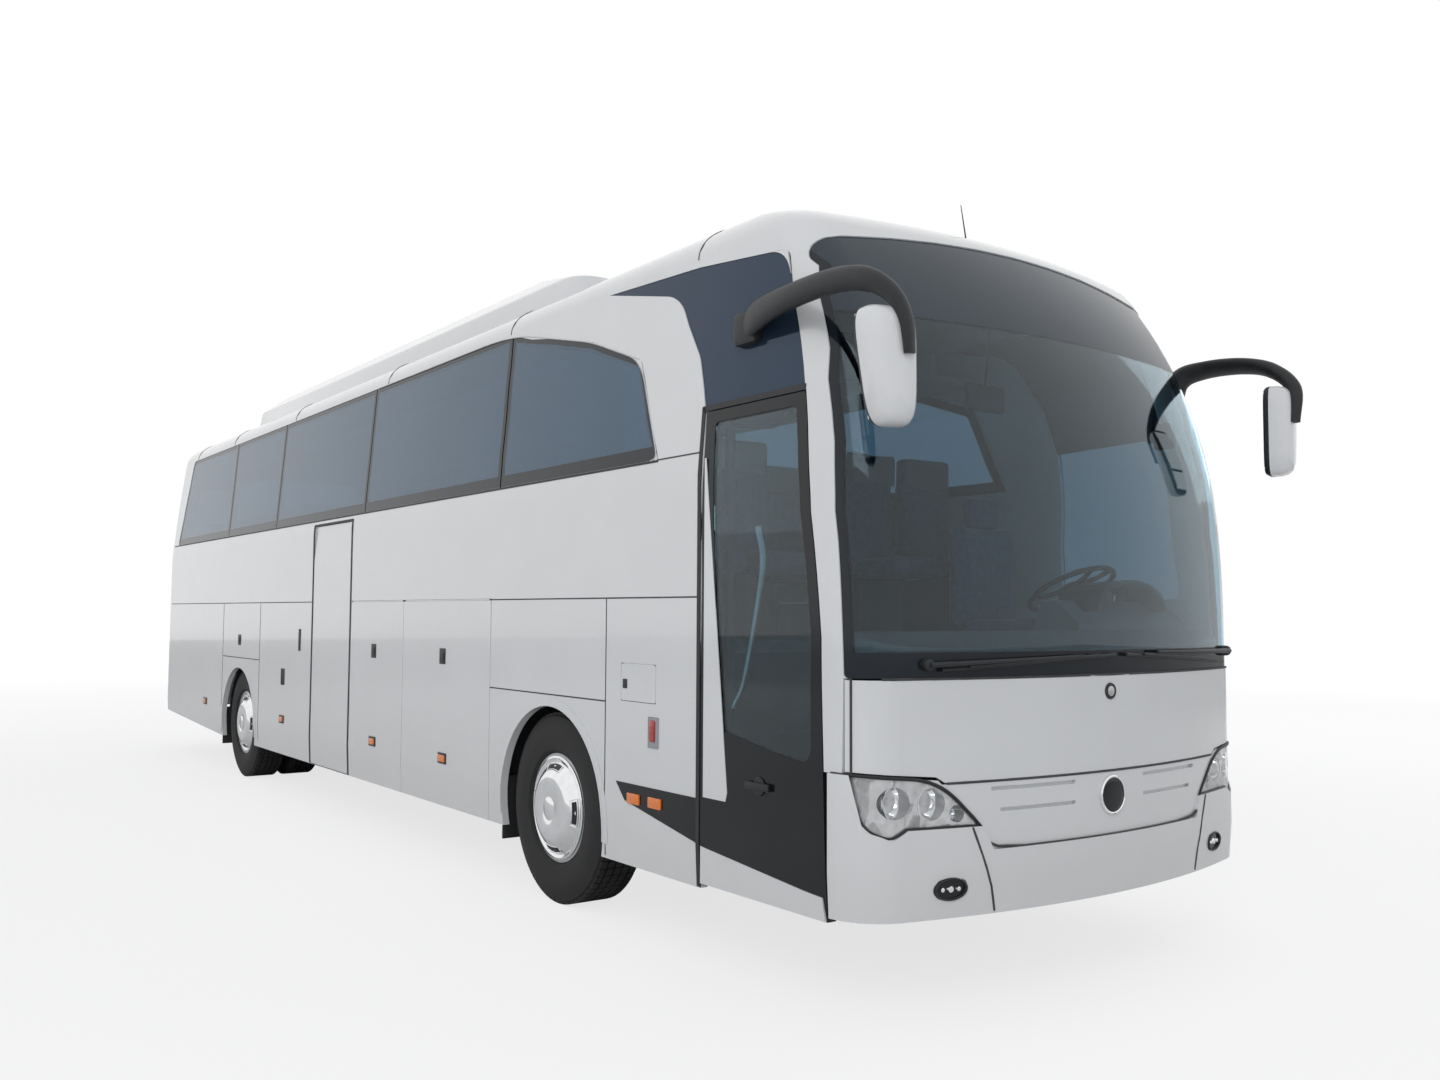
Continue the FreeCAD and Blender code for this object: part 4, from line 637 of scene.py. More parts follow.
def repeat_tree(kind):
    """A node tree that repeats its geometry in a row, or in a ring about the y axis."""
    tree = bpy.data.node_groups.new(kind, "GeometryNodeTree")
    for name, way, socket in (
        ("Geometry", "INPUT", "NodeSocketGeometry"),
        ("Geometry", "OUTPUT", "NodeSocketGeometry"),
        ("Count", "INPUT", "NodeSocketInt"),
        ("Step", "INPUT", "NodeSocketVector"),
        ("Material", "INPUT", "NodeSocketMaterial"),
    ):
        tree.interface.new_socket(name, in_out=way, socket_type=socket)
    entry = add_node(tree, "NodeGroupInput").outputs
    offset = entry["Step"] if kind == "row" else (0, 0, 0)
    line = add_node(tree, "GeometryNodeMeshLine", {"Count": entry["Count"], "Offset": offset})
    places = {"Points": line.outputs["Mesh"], "Instance": entry["Geometry"]}
    if kind == "ring":
        index = add_node(tree, "GeometryNodeInputIndex").outputs["Index"]
        turn = add_math(tree, "MULTIPLY", add_math(tree, "DIVIDE", index, entry["Count"]), math.tau)
        places["Rotation"] = add_node(tree, "ShaderNodeCombineXYZ", {"Y": turn}).outputs["Vector"]
    copies = add_node(tree, "GeometryNodeInstanceOnPoints", places).outputs["Instances"]
    real = add_node(tree, "GeometryNodeRealizeInstances", {"Geometry": copies}).outputs["Geometry"]
    look = add_node(tree, "GeometryNodeSetMaterial", {"Geometry": real, "Material": entry["Material"]})
    add_node(tree, "NodeGroupOutput", {"Geometry": look.outputs["Geometry"]})
    return tree


TREES = {}


def repeated(work, kind, count, look, step=(0, 0, 0), centre=(0, 0, 0), smooth_angle=30):
    """A plain mesh of one shape repeated in a row, or round the y axis through a centre."""
    if kind not in TREES:
        TREES[kind] = repeat_tree(kind)
    seed = new_object("seed", mesh_of(work, "seed", smooth_angle))
    modifier = seed.modifiers.new("repeat", "NODES")
    modifier.node_group = TREES[kind]
    names = {item.name: item.identifier for item in TREES[kind].interface.items_tree if item.in_out == "INPUT"}
    modifier[names["Count"]] = count
    modifier[names["Step"]] = step
    modifier[names["Material"]] = finish(look)
    seed.update_tag()
    mesh = solved_mesh(seed)
    bpy.data.objects.remove(seed)
    mesh.transform(Matrix.Translation(Vector(centre)))
    return mesh


# The smooth skin


def plane(axis, value):
    """A cutting plane across an axis, as a place and a direction."""
    direction = Vector((0, 0, 0))
    direction[axis] = 1
    return direction * value, direction


def skin_copy(node, look, cut_lines=(), bands=None, others=(), recess=0.0):
    """A copy of a packed panel, cut finely and moved from its flat facets onto the true curve of the skin.

    Extra cut lines are (place, direction) planes, bands gives the finish number of a face centre, and
    outer faces with a number above zero are sunk by the recess.
    """
    source = frame["nodes"][node]
    work = bmesh.new()
    work.from_mesh(source.data)
    bmesh.ops.remove_doubles(work, verts=work.verts, dist=2e-5)
    low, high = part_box(node)
    levels = [(2, z, 0.02) for z in np.arange(0.4, 3.45, 0.11)]
    levels += [(2, z, 0) for z in (3.28, 3.33, 3.37, 3.4, 3.425, 3.44)]
    levels += [(1, y, 0.02) for y in np.arange(-1.1, 1.11, 0.11)]
    for start, stop in ((ahead(1.6), ahead(2.5)), (ahead(-9.5), ahead(-8.7))):
        levels += [(0, x, 0.02) for x in np.arange(start, stop, 0.05)]
    cuts = [plane(axis, value) for axis, value, edge in levels if low[axis] + edge < value < high[axis] - edge]
    for place, direction in cuts + list(cut_lines):
        geometry = work.verts[:] + work.edges[:] + work.faces[:]
        bmesh.ops.bisect_plane(work, geom=geometry, plane_co=place, plane_no=direction, dist=1e-5)
    if bands:
        for face in work.faces:
            face.material_index = bands(face.calc_center_median())
    if recess:
        work.normal_update()
        sunk = [face for face in work.faces if face.material_index and face.normal.x < -0.8]
        made = bmesh.ops.extrude_face_region(work, geom=sunk)["geom"]
        moved = [item for item in made if isinstance(item, bmesh.types.BMVert)]
        bmesh.ops.translate(work, verts=moved, vec=(recess, 0, 0))
    mesh = bpy.data.meshes.new(f"{node}_skin")
    work.to_mesh(mesh)
    work.free()
    points = np.zeros(len(mesh.vertices) * 3)
    mesh.vertices.foreach_get("co", points)
    points = points.reshape(-1, 3)
    move, normals = skin_fit(points)
    mesh.vertices.foreach_set("co", np.clip(points + move, cad_low, cad_high).ravel())
    mesh.update()
    set_skin_normals(mesh, normals)
    painted(mesh, look, *others)
    add_piece(f"{node}_skin", mesh, slot=slot_of(node), body=source["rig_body"], replaces=(node,))


def set_skin_normals(mesh, normals):
    """Gives the faces that lie along the skin its own normals, and leaves the rest flat."""
    for polygon in mesh.polygons:
        polygon.use_smooth = True
    loop_normals = []
    for polygon in mesh.polygons:
        flat = polygon.normal
        near = [Vector(normals[index]) for index in polygon.vertices]
        agree = sum(flat.dot(normal) for normal in near) / len(near)
        if abs(agree) > 0.9:
            loop_normals += [normal * math.copysign(1, agree) for normal in near]
        else:
            loop_normals += [flat] * len(near)
    mesh.normals_split_custom_set(loop_normals)


def side_place(side):
    """Places outline points (ahead, height) on one side's skin, at a depth inside it."""

    def place(x, z, depth):
        return Vector((ahead(x), side * (float(skin_level(z)[0]) - depth), z))

    return place


def nose_place(proud=0.0):
    """Places outline points (y, height) on the nose, at a depth inside the skin."""

    def place(y, z, depth):
        return front_point(y, z, proud - depth)[0]

    return place


def corner_curve(outline, index, reach, steps=8):
    """A smooth curve that cuts one corner of an outline, starting this far before it."""
    here = Vector(outline[index])
    before = Vector(outline[index - 1]) - here
    after = Vector(outline[(index + 1) % len(outline)]) - here
    first, last = (here + way.normalized() * min(reach, way.length * 0.5) for way in (before, after))
    shares = [step / steps for step in range(steps + 1)]
    return [first * (1 - t) ** 2 + here * (2 * t * (1 - t)) + last * t**2 for t in shares]


def add_corner_fillers(work, outline, reaches, place, depth=0.007):
    """Fills the corners of an opening so that its edge looks rounded."""
    lift = 0.0004
    for index, reach in enumerate(reaches):
        if not reach:
            continue
        curve = corner_curve(outline, index, reach)
        corner = Vector(outline[index])
        for one, two in zip(curve, curve[1:]):
            top, low = ([place(*point, deep) for point in (corner, one, two)] for deep in (-lift, depth))
            add_shell(work, top, low)


def rounded_outline(outline, reaches, step=0.04):
    """The outline with its corners replaced by their curves, and points along its straight runs."""
    line = []
    for index, reach in enumerate((*reaches, None)):
        if reach is None:
            here = line[:1]
        else:
            here = corner_curve(outline, index, reach) if reach else [Vector(outline[index])]
        if line:
            start = line[-1]
            parts = max(int((here[0] - start).length / step), 1)
            line += [start.lerp(here[0], k / parts) for k in range(1, parts)]
        line += here
    return line


# Stage: the camera stands where the photograph was taken from


CAMERA_PLACE = (5.954, -4.466, 1.569)
CAMERA_YAW, CAMERA_PITCH, CAMERA_ROLL = (math.radians(turn) for turn in (143.961, 3.429, 0.311))
CAMERA_FOCUS_PIXELS = 1224.8
PHOTO_WIDTH_PIXELS = 1440
FLOOR_REACH = 60.0
LIGHTS = (
    ("key", (14.0, -12.0, 11.0), 9.0, 900.0, (1.5, 0, 1.4)),
    ("fill", (-10.0, -14.0, 8.0), 10.0, 300.0, (-3.0, 0, 1.5)),
    ("back", (2.0, 14.0, 9.0), 10.0, 600.0, (0, 0, 1.5)),
)


def build_floor():
    corners = [(FLOOR_REACH * x, FLOOR_REACH * y, 0) for x, y in ((-1, -1), (1, -1), (1, 1), (-1, 1))]
    mesh = bpy.data.meshes.new("studio_floor")
    mesh.from_pydata(corners, [], [(0, 1, 2, 3)])
    new_object("studio_floor", painted(mesh, "studio_floor_paint"))


def build_world():
    """A pale light from all sides that looks white to the camera, in reflections and through glass."""
    world = bpy.context.scene.world = bpy.data.worlds.new("studio")
    world.use_nodes = True
    tree = world.node_tree
    tree.nodes.clear()
    light, white = (
        add_node(tree, "ShaderNodeBackground", {"Color": (*colour, 1), "Strength": strength}).outputs["Background"]
        for colour, strength in (((0.96, 0.98, 1.0), 0.5), ((1, 1, 1), 1.0))
    )
    rays = add_node(tree, "ShaderNodeLightPath").outputs
    seen = add_math(tree, "MAXIMUM", rays["Is Camera Ray"], rays["Is Glossy Ray"])
    seen = add_math(tree, "MAXIMUM", seen, rays["Is Transmission Ray"])
    mix = add_node(tree, "ShaderNodeMixShader", {"Fac": seen, 1: light, 2: white})
    add_node(tree, "ShaderNodeOutputWorld", {"Surface": mix.outputs["Shader"]})


def build_lights():
    for name, place, size, energy, aim in LIGHTS:
        data = bpy.data.lights.new(name, "AREA")
        data.size = size
        data.energy = energy
        lamp = new_object(name, data)
        lamp.location = place
        lamp.visible_glossy = False
        lamp.rotation_mode = "QUATERNION"
        lamp.rotation_quaternion = (Vector(aim) - Vector(place)).to_track_quat("-Z", "Y")


def place_camera():
    data = bpy.data.cameras.new("photo_camera")
    data.sensor_width = 36.0
    data.lens = CAMERA_FOCUS_PIXELS / PHOTO_WIDTH_PIXELS * data.sensor_width
    data.clip_end = 300.0
    level = math.cos(CAMERA_PITCH)
    forward = Vector((math.cos(CAMERA_YAW) * level, math.sin(CAMERA_YAW) * level, math.sin(CAMERA_PITCH)))
    level_right = Vector((math.sin(CAMERA_YAW), -math.cos(CAMERA_YAW), 0))
    level_up = level_right.cross(forward)
    right = level_right * math.cos(CAMERA_ROLL) + level_up * math.sin(CAMERA_ROLL)
    up = level_up * math.cos(CAMERA_ROLL) - level_right * math.sin(CAMERA_ROLL)
    turn = Matrix((right, up, -forward)).transposed()
    x, y, z = CAMERA_PLACE
    camera = new_object("photo_camera", data)
    camera.matrix_world = Matrix.Translation((ahead(x), y, z)) @ turn.to_4x4()
    bpy.context.scene.camera = camera


# Glass


PILLAR_EDGE = ((1.3, 2.371), (1.85, 2.338), (2.25, 2.3), (2.65, 2.225), (3.03, 2.09), (3.12, 1.985), (3.3, 1.98))
SCREEN_BAND_LOW = 1.42
SCREEN_BAND_TOP = 2.81
SCREEN_BORDER = 0.036
WINDOW_LOW = 2.305
WINDOW_TOP = 3.235
WINDOW_BAND = 0.07
PANE_EDGE = 0.035
PANE_GAP = 0.007
PANE_SPLITS = (-9.09, -6.755, -5.16, -2.94, -0.68)
REAR_PANE_END = -8.84
FRONT_PANE = ((-0.673, WINDOW_LOW), (1.04, WINDOW_LOW), (0.82, 2.83), (0.3, 3.015), (-0.12, 3.11), (-0.673, 3.225))
FRONT_REACHES = (0.06, 0.13, 0.12, 0.12, 0, 0)
QUARTER_GLASS = ((1.42, 2.49), (2.13, 2.49), (1.945, 3.13), (1.28, 3.2), (0.45, 3.24), (0.45, 3.238))
REAR_PANE = ((-8.89, WINDOW_LOW), (-8.57, WINDOW_TOP), (-8.0, WINDOW_TOP), (-8.0, WINDOW_LOW))


def build_windscreen():
    """The windscreen with its black foot, black side borders and dark band above."""
    cuts = [plane(2, SCREEN_BAND_LOW), plane(2, SCREEN_BAND_TOP)]
    for (z0, x0), (z1, x1) in zip(PILLAR_EDGE, PILLAR_EDGE[1:]):
        along = Vector((x1 - x0, 0, z1 - z0)).normalized()
        cuts.append(((ahead(x0 + SCREEN_BORDER), 0, z0), (along.z, 0, -along.x)))
    heights, edges = zip(*PILLAR_EDGE)

    def band(centre):
        if centre.z < SCREEN_BAND_LOW:
            return 1
        if centre.x < ahead(float(np.interp(centre.z, heights, edges)) + SCREEN_BORDER) and centre.z < 3.12:
            return 1
        return 2 if centre.z > SCREEN_BAND_TOP else 0

    skin_copy("windscreen", "windscreen_glass", cuts, band, ("glass_black_border", "screen_shade"))


def inside_pane(x, z):
    """Whether a point lies inside its pane, past the black border at each edge."""
    if x < PANE_SPLITS[-1]:
        if z < WINDOW_LOW + WINDOW_BAND or z > WINDOW_TOP - PANE_EDGE:
            return False
        clear = all(abs(x - split) > PANE_EDGE + PANE_GAP for split in PANE_SPLITS)
        return clear and x > REAR_PANE_END + PANE_EDGE
    for (x0, z0), (x1, z1) in zip(FRONT_PANE, FRONT_PANE[1:] + FRONT_PANE[:1]):
        along = Vector((x1 - x0, z1 - z0)).normalized()
        gap = along.x * (z - z0) - along.y * (x - x0)
        if gap < (WINDOW_BAND if z0 == z1 == WINDOW_LOW else PANE_EDGE):
            return False
    return True


def build_side_glass():
    """Tinted side panes with black borders, and the dark panels beside the cab."""
    cuts = [plane(2, WINDOW_LOW + WINDOW_BAND), plane(2, WINDOW_TOP - PANE_EDGE)]
    cuts += [plane(0, ahead(split + side * (PANE_EDGE + PANE_GAP))) for split in PANE_SPLITS for side in SIDES]
    for (x0, z0), (x1, z1) in zip(FRONT_PANE[1:], FRONT_PANE[2:]):
        along = Vector((x1 - x0, z1 - z0)).normalized()
        inward = Vector((-along.y, along.x))
        cuts.append(((ahead(x0 + inward.x * PANE_EDGE), 0, z0 + inward.y * PANE_EDGE), (inward.x, 0, inward.y)))

    def band(centre):
        x = centre.x - AXLE_X
        if x > 1.2 and centre.z < 2.5:
            return 0
        if x > 1.1 or (x > 0.3 and centre.z > 3.05):
            return 2
        return 0 if inside_pane(x, centre.z) else 1

    skin_copy("side_glass", "side_glass_tint", cuts, band, ("glass_black_border", "dark_glass_panel"))


def build_window_corners():
    """Rounds the corners of the panes and runs a bright line round the front one's arch."""
    fillers = bmesh.new()
    trim = bmesh.new()
    front_pane = [*FRONT_PANE[1:5], (-0.68, WINDOW_TOP), (-0.68, WINDOW_LOW)]
    top_run = [FRONT_PANE[4], (-0.68, WINDOW_TOP), (-1.6, WINDOW_TOP)]
    line = [Vector((-2.9, WINDOW_TOP)), Vector((-1.6, WINDOW_TOP)), *reversed(corner_curve(top_run, 1, 0.4, 6))]
    for index in (3, 2, 1, 0):
        line += reversed(corner_curve(front_pane, index, FRONT_REACHES[index], 6))
    for side in SIDES:
        place = side_place(side)
        add_corner_fillers(fillers, front_pane, FRONT_REACHES, place)
        add_corner_fillers(fillers, top_run, (0, 0.4, 0), place)
        add_tube(trim, [place(x, z, 0.001) for x, z in line], 0.0045)
        add_corner_fillers(fillers, QUARTER_GLASS, (0, 0, 0.12, 0, 0, 0), place)
        add_corner_fillers(fillers, REAR_PANE, (0.06, 0.08, 0, 0), place)
    add_piece("window_corners", fillers, "body_paint", "paint", smooth=None)
    add_piece("window_trim", trim, "wheel_metal", "wheel", smooth=60)


# Seams, seals, latches and marker lamps on the sides


BOTH_SEAMS = (
    ((0.595, 0.36), (0.595, 1.64)),
    ((-6.798, 0.37), (-6.798, 1.64)),
    ((-0.74, 1.125), (0.595, 1.125)),
    ((-6.798, 1.125), (-5.527, 1.125)),
)
SIDE_SEAMS = {
    -1: (
        ((-9.1, 1.643), (-4.06, 1.643)),
        ((-0.74, 1.643), (1.4, 1.643)),
        ((-5.527, 0.4), (-5.527, 1.64)),
        ((1.04, 2.303), (1.4, 2.303)),
    ),
    1: (
        ((-9.1, 1.643), (-5.52, 1.643)),
        ((-0.74, 1.643), (2.2, 1.643)),
        ((1.42, 0.36), (1.42, 1.64)),
        ((1.04, 2.303), (1.42, 2.303)),
    ),
}
DOOR_SEALS = (
    ((1.41, 0.35), (1.41, 2.51), 1.0),
    ((1.4, 2.502), (2.13, 2.502), 1.0),
    ((-4.052, 0.35), (-4.052, 2.262), 0.8),
    ((-3.158, 0.35), (-3.158, 2.262), 0.8),
    ((-4.06, 2.262), (-3.15, 2.262), 0.6),
)
BELT_SEAL = ((-9.05, 2.298), (1.05, 2.298))
ARCHES = ((0.0, 0.49, 0.572), (REAR_AXLE_X - AXLE_X, 0.47, 0.56))
ARCH_FOOT = 0.42
STRIP_ROOT = 0.002


def add_side_line(work, side, start, stop, width, proud=0.0012):
    """A flat strip on the side's skin between two (ahead, height) places, split where the skin bends."""
    for level in (SKIN["tuck_height"], SKIN["lean_from"]):
        (x0, z0), (x1, z1) = start, stop
        if min(z0, z1) < level - 0.01 and max(z0, z1) > level + 0.01:
            bend = (x0 + (x1 - x0) * (level - z0) / (z1 - z0), level)
            add_side_line(work, side, start, bend, width, proud)
            start = bend
    (x0, z0), (x1, z1) = start, stop
    across = Vector((z0 - z1, x1 - x0)).normalized() * (width / 2)
    place = side_place(side)
    rim = ((x0, z0, -1), (x1, z1, -1), (x1, z1, 1), (x0, z0, 1))
    outline = [place(x + way * across.x, z + way * across.y, STRIP_ROOT) for x, z, way in rim]
    add_prism(work, outline, Vector((0, side * (proud + STRIP_ROOT), 0)))


def build_arch_lips():
    lips = bmesh.new()
    for x, z, radius in ARCHES:
        low_turn = math.asin((ARCH_FOOT - z) / radius)
        turns = np.linspace(low_turn, math.pi - low_turn, 41)
        for side in SIDES:
            place = side_place(side)
            for one, two in zip(turns, turns[1:]):
                for inner, outer, proud in ((0.0, 0.012, 0.006), (0.012, 0.05, 0.0035)):
                    near, far = radius + inner, radius + outer
                    quad = [(near, one), (near, two), (far, two), (far, one)]
                    corners = [place(x + r * math.cos(turn), z + r * math.sin(turn), STRIP_ROOT) for r, turn in quad]
                    add_prism(lips, corners, Vector((0, side * (STRIP_ROOT + proud), 0)))
    add_piece("arch_lips", lips, "body_paint", "paint", smooth=None)


LATCHES = {
    "luggage_flap_right_front": ((-1.435, 1.287),),
    "luggage_flap_right_middle": ((-2.654, 1.287),),
    "luggage_flap_left_front": ((-1.52, 1.287),),
    "luggage_flap_left_middle": ((-3.1, 1.287),),
    "luggage_flap_left_rear": ((-4.7, 1.287),),
    "coach": ((-6.2, 1.294),),
}
MARKERS = {
    "luggage_flap_right_front": ((-1.414, 0.643),),
    "luggage_flap_right_middle": ((-2.647, 0.643),),
    "luggage_flap_left_front": ((-1.414, 0.643),),
    "luggage_flap_left_middle": ((-3.1, 0.643),),
    "luggage_flap_left_rear": ((-4.813, 0.643),),
    "coach": ((-4.813, 0.643), (-7.436, 0.643)),
}
# Places, and the parts at each: name, low and high x, half depth, low and high z, edge, finish, slot
FITTINGS = (
    (LATCHES, (
        ("latch_plate", -0.045, 0.045, 0.004, -0.05, 0.05, 0.003, "black_plastic", "dark_trim"),
        ("latch_grip", -0.018, 0.03, 0.009, -0.03, 0.022, 0.004, "chassis_paint", "dark_trim"),
    )),
    (MARKERS, (
        ("marker_base", -0.062, 0.062, 0.006, -0.034, 0.034, 0.004, "black_plastic", "dark_trim"),
        ("marker_lens", -0.05, 0.05, 0.013, -0.022, 0.022, 0.006, "amber_lens", "lens"),
    )),
)
# Each right side fitting: name, finish, slot and blocks, with depths outside the body in place of y
RIGHT_FITTINGS = (
    ("step_lamps", "amber_lens", "lens", (
        (0.821, 0.931, 0.012, 0, 0.646, 0.698, 0.006), (1.009, 1.119, 0.012, 0, 0.648, 0.7, 0.006)
    )),
    ("air_coupling_cup", "pale_lining", "paint", ((1.0, 1.085, 0.004, 0, 0.93, 1.075, 0.006),)),
    ("air_coupling_grip", "red_lens", "lamp_red", ((1.02, 1.062, 0.014, 0.003, 0.96, 1.06, 0.006),)),
    ("side_handles", "black_plastic", "dark_trim", (
        (-4.385, -4.345, 0.006, 0, 1.24, 1.42, 0.006), (0.765, 0.8, 0.006, 0, 1.2, 1.245, 0.004)
    )),
)
STEP_WEDGE = ((0.705, 0.741), (1.404, 0.741), (1.404, 0.541), (0.79, 0.655))
VENT_PLACE = (-4.84, 1.006)
VENT_PITCH = 0.034


def add_side_shape(work, outline, proud, thick):
    """A flat plate on the right side, from an outline of (ahead, height) points."""
    add_prism(work, [(ahead(x), -HALF_WIDTH - proud + thick, z) for x, z in outline], Vector((0, -thick, 0)))


def build_side_fittings():
    for places, parts in FITTINGS:
        for body, spots in places.items():
            y = HALF_WIDTH if "left" in body else -HALF_WIDTH
            for name, x0, x1, deep, z0, z1, edge, look, slot in parts:
                rows = [(x + x0, x + x1, y - deep, y + deep, z + z0, z + z1, edge) for x, z in spots]
                add_piece(f"{name}_{body}", blocks(*rows), look, slot, body)
    wedge = bmesh.new()
    add_side_shape(wedge, STEP_WEDGE, 0.0025, 0.0035)
    add_piece("step_wedge", wedge, "black_gloss", smooth=None)
    for name, look, slot, rows in RIGHT_FITTINGS:
        rows = [(x0, x1, -HALF_WIDTH - out, -HALF_WIDTH - back, *rest) for x0, x1, out, back, *rest in rows]
        add_piece(name, blocks(*rows), look, slot)
    bar = bmesh.new()
    add_block(bar, (-0.012, -0.006, -0.07), (0.012, 0.0, 0.07), 0.003)
    x, z = VENT_PLACE
    bars = repeated(bar, "row", 3, "black_plastic", (VENT_PITCH, 0, 0), (ahead(x), -HALF_WIDTH, z))
    add_piece("vent_bars", bars)


# Front end


LAMP_OUTLINE = ((1.262, 0.95), (0.939, 0.923), (0.743, 0.737), (1.077, 0.739), (1.141, 0.701), (1.235, 0.741))
LAMP_REACHES = (0, 0.12, 0, 0, 0.03, 0.1)
LAMP_BOWLS = ((1.12, 0.842, 0.06), (0.965, 0.832, 0.06), (0.85, 0.79, 0.032))
BUMPER_PROUD = 0.014
SEAM_RADIUS = 0.0055
# Seams on each side of the nose, as (y, height) places and how far they stand proud
NOSE_SEAMS = (
    (((1.25, 0.95), (1.25, BELT)), 0.0),
    (((1.262, 0.95), (1.2745, 0.95)), 0.0),
    (((0.756, 0.715), (0.716, 0.672), (0.664, 0.652), (0.527, 0.643), (0.0, 0.642)), 0.006),
    (((0.79, 0.735), (0.743, 0.62), (0.7, 0.5), (0.68, 0.402)), 0.0125),
)
# Round parts on the nose: name, height, (radius, along) profile, steps, finish, slot, body
NOSE_ROUNDS = (
    ("flap_lock", 1.246, ((0, 0.008), (0.014, 0.009), (0.022, 0.006), (0.024, -0.004)), 32,
     "wheel_metal", "wheel", "front_flap"),
    ("flap_lock_ring", 1.246, ((0.023, -0.004), (0.024, 0.007), (0.034, 0.006), (0.037, -0.004)), 32,
     "black_plastic", "dark_trim", "front_flap"),
    ("nose_disc", 0.807, ((0, 0.008), (0.05, 0.01), (0.073, 0.006), (0.075, -0.008)), 48,
     "black_gloss", "dark_trim", "coach"),
    ("nose_disc_ring", 0.807, ((0.072, -0.006), (0.073, 0.011), (0.078, 0.013), (0.083, 0.009), (0.085, -0.006)), 48,
     "bright_chrome", "wheel", "coach"),
)


def add_nose_line(work, corners, proud):
    """A thin round line along corners given as (y, z) on the nose."""
    points = []
    for (y0, z0), (y1, z1) in zip(corners, corners[1:]):
        parts = max(int(math.hypot(y1 - y0, z1 - z0) / 0.04), 2)
        shares = [k / parts for k in range(parts)]
        points += [front_point(y0 + (y1 - y0) * share, z0 + (z1 - z0) * share, proud)[0] for share in shares]
    points.append(front_point(*corners[-1], proud)[0])
    add_tube(work, points, SEAM_RADIUS)


def build_headlamps():
    skin_copy("lamp_lenses", "clear_lens")
    skin_copy("headlamp_bodies", "lamp_housing")
    bowls, bulbs, edge, fillers = (bmesh.new() for _ in range(4))
    facing = (1, 0, 0)
    for side in SIDES:
        for y, z, r in LAMP_BOWLS:
            face = front_point(side * y, z, -0.03)[0]
            bowl = [(r, 0), (r * 0.98, -0.006), (r * 0.8, -0.03), (r * 0.42, -0.055), (0, -0.06)]
            rim = [(r * 1.06, -0.004), (r * 1.06, 0.004), (r, 0.004), (r, -0.004), (r * 1.06, -0.004)]
            add_lathe(bowls, bowl, face, facing, 36)
            add_lathe(bowls, rim, face, facing, 36)
            add_lathe(bulbs, [(0, -0.056), (r * 0.3, -0.05), (r * 0.26, -0.02), (0, -0.012)], face, facing, 20)
        outline = [(side * y, z) for y, z in LAMP_OUTLINE]
        rounded = rounded_outline(outline, LAMP_REACHES)
        add_tube(edge, [front_point(y, z, 0.002)[0] for y, z in rounded], 0.0075)
        add_corner_fillers(fillers, outline, (0, LAMP_REACHES[1], 0, 0, 0, 0), nose_place(), 0.012)
        lower = (0, 0, 0, 0, *LAMP_REACHES[4:])
        add_corner_fillers(fillers, outline, lower, nose_place(BUMPER_PROUD), 0.01 + BUMPER_PROUD)
    add_piece("lamp_reflectors", bowls, "bright_chrome", "lamp_inside", smooth=40)
    add_piece("lamp_bulbs", bulbs, "clear_lens", "lens", smooth=60)
    add_piece("lamp_corners", fillers, "body_paint", "paint", smooth=None)
    add_piece("lamp_outlines", edge, "black_plastic", smooth=60)


def build_nose_parts():
    seams = bmesh.new()
    for z, half in ((0.909, 0.9), (BELT - 0.003, 1.17)):
        add_nose_line(seams, [(-half, z), (half, z)], -0.001)
    for side in SIDES:
        for points, proud in NOSE_SEAMS:
            add_nose_line(seams, [(side * y, z) for y, z in points], proud)
    add_piece("nose_seams", seams, "seam_shadow", smooth=60)
    for name, z, profile, steps, look, slot, body in NOSE_ROUNDS:
        work = bmesh.new()
        add_lathe(work, profile, *front_point(0.0, z), steps)
        add_piece(name, work, look, slot, body, 40)


FOG_LAMP = (0.891, 0.505)
FOG_HALF = (0.079, 0.045)
FOG_BEZEL = ((1.0, -0.012), (1.0, 0.002), (0.93, 0.007), (0.84, 0.004), (0.8, -0.012))
FOG_BOWL = ((0.82, -0.004), (0.7, -0.018), (0.4, -0.028))
FOG_LENSES = ((-0.038, 0.012), (0.0, 0.017), (0.036, 0.012))


def build_fog_lamps():
    """Oval lamps with a black edge, a dark bowl and three bright lenses."""
    bezel, bowl, dots = (bmesh.new() for _ in range(3))
    turns = [math.tau * step / 40 for step in range(40)]
    for side in SIDES:
        place, normal = front_point(side * FOG_LAMP[0], FOG_LAMP[1], BUMPER_PROUD + 0.0005)
        across = Vector((0, 0, 1)).cross(normal).normalized() * FOG_HALF[0]
        up = normal.cross(across.normalized()) * FOG_HALF[1]

        def ovals(profile):
            return [
                [place + (across * math.cos(turn) + up * math.sin(turn)) * reach + normal * rise for turn in turns]
                for reach, rise in profile
            ]

        add_rings(bezel, ovals(FOG_BEZEL), loop=True)
        add_rings(bowl, ovals(FOG_BOWL))
        for shift, r in FOG_LENSES:
            spot = place + across.normalized() * shift + normal * -0.002
            add_lathe(dots, [(0, 0.008), (r * 0.7, 0.005), (r, -0.004)], spot, normal, 24)
    add_piece("fog_lamp_rims", bezel, "black_plastic", smooth=50)
    add_piece("fog_lamp_bowls", bowl, "black_gloss", "lamp_inside", smooth=50)
    add_piece("fog_reflectors", dots, "bright_chrome", "lamp_inside", smooth=40)


# Wheels


RIB_COUNT = 5
RIB_GAP = 0.009
COVER_RADIUS = 0.265


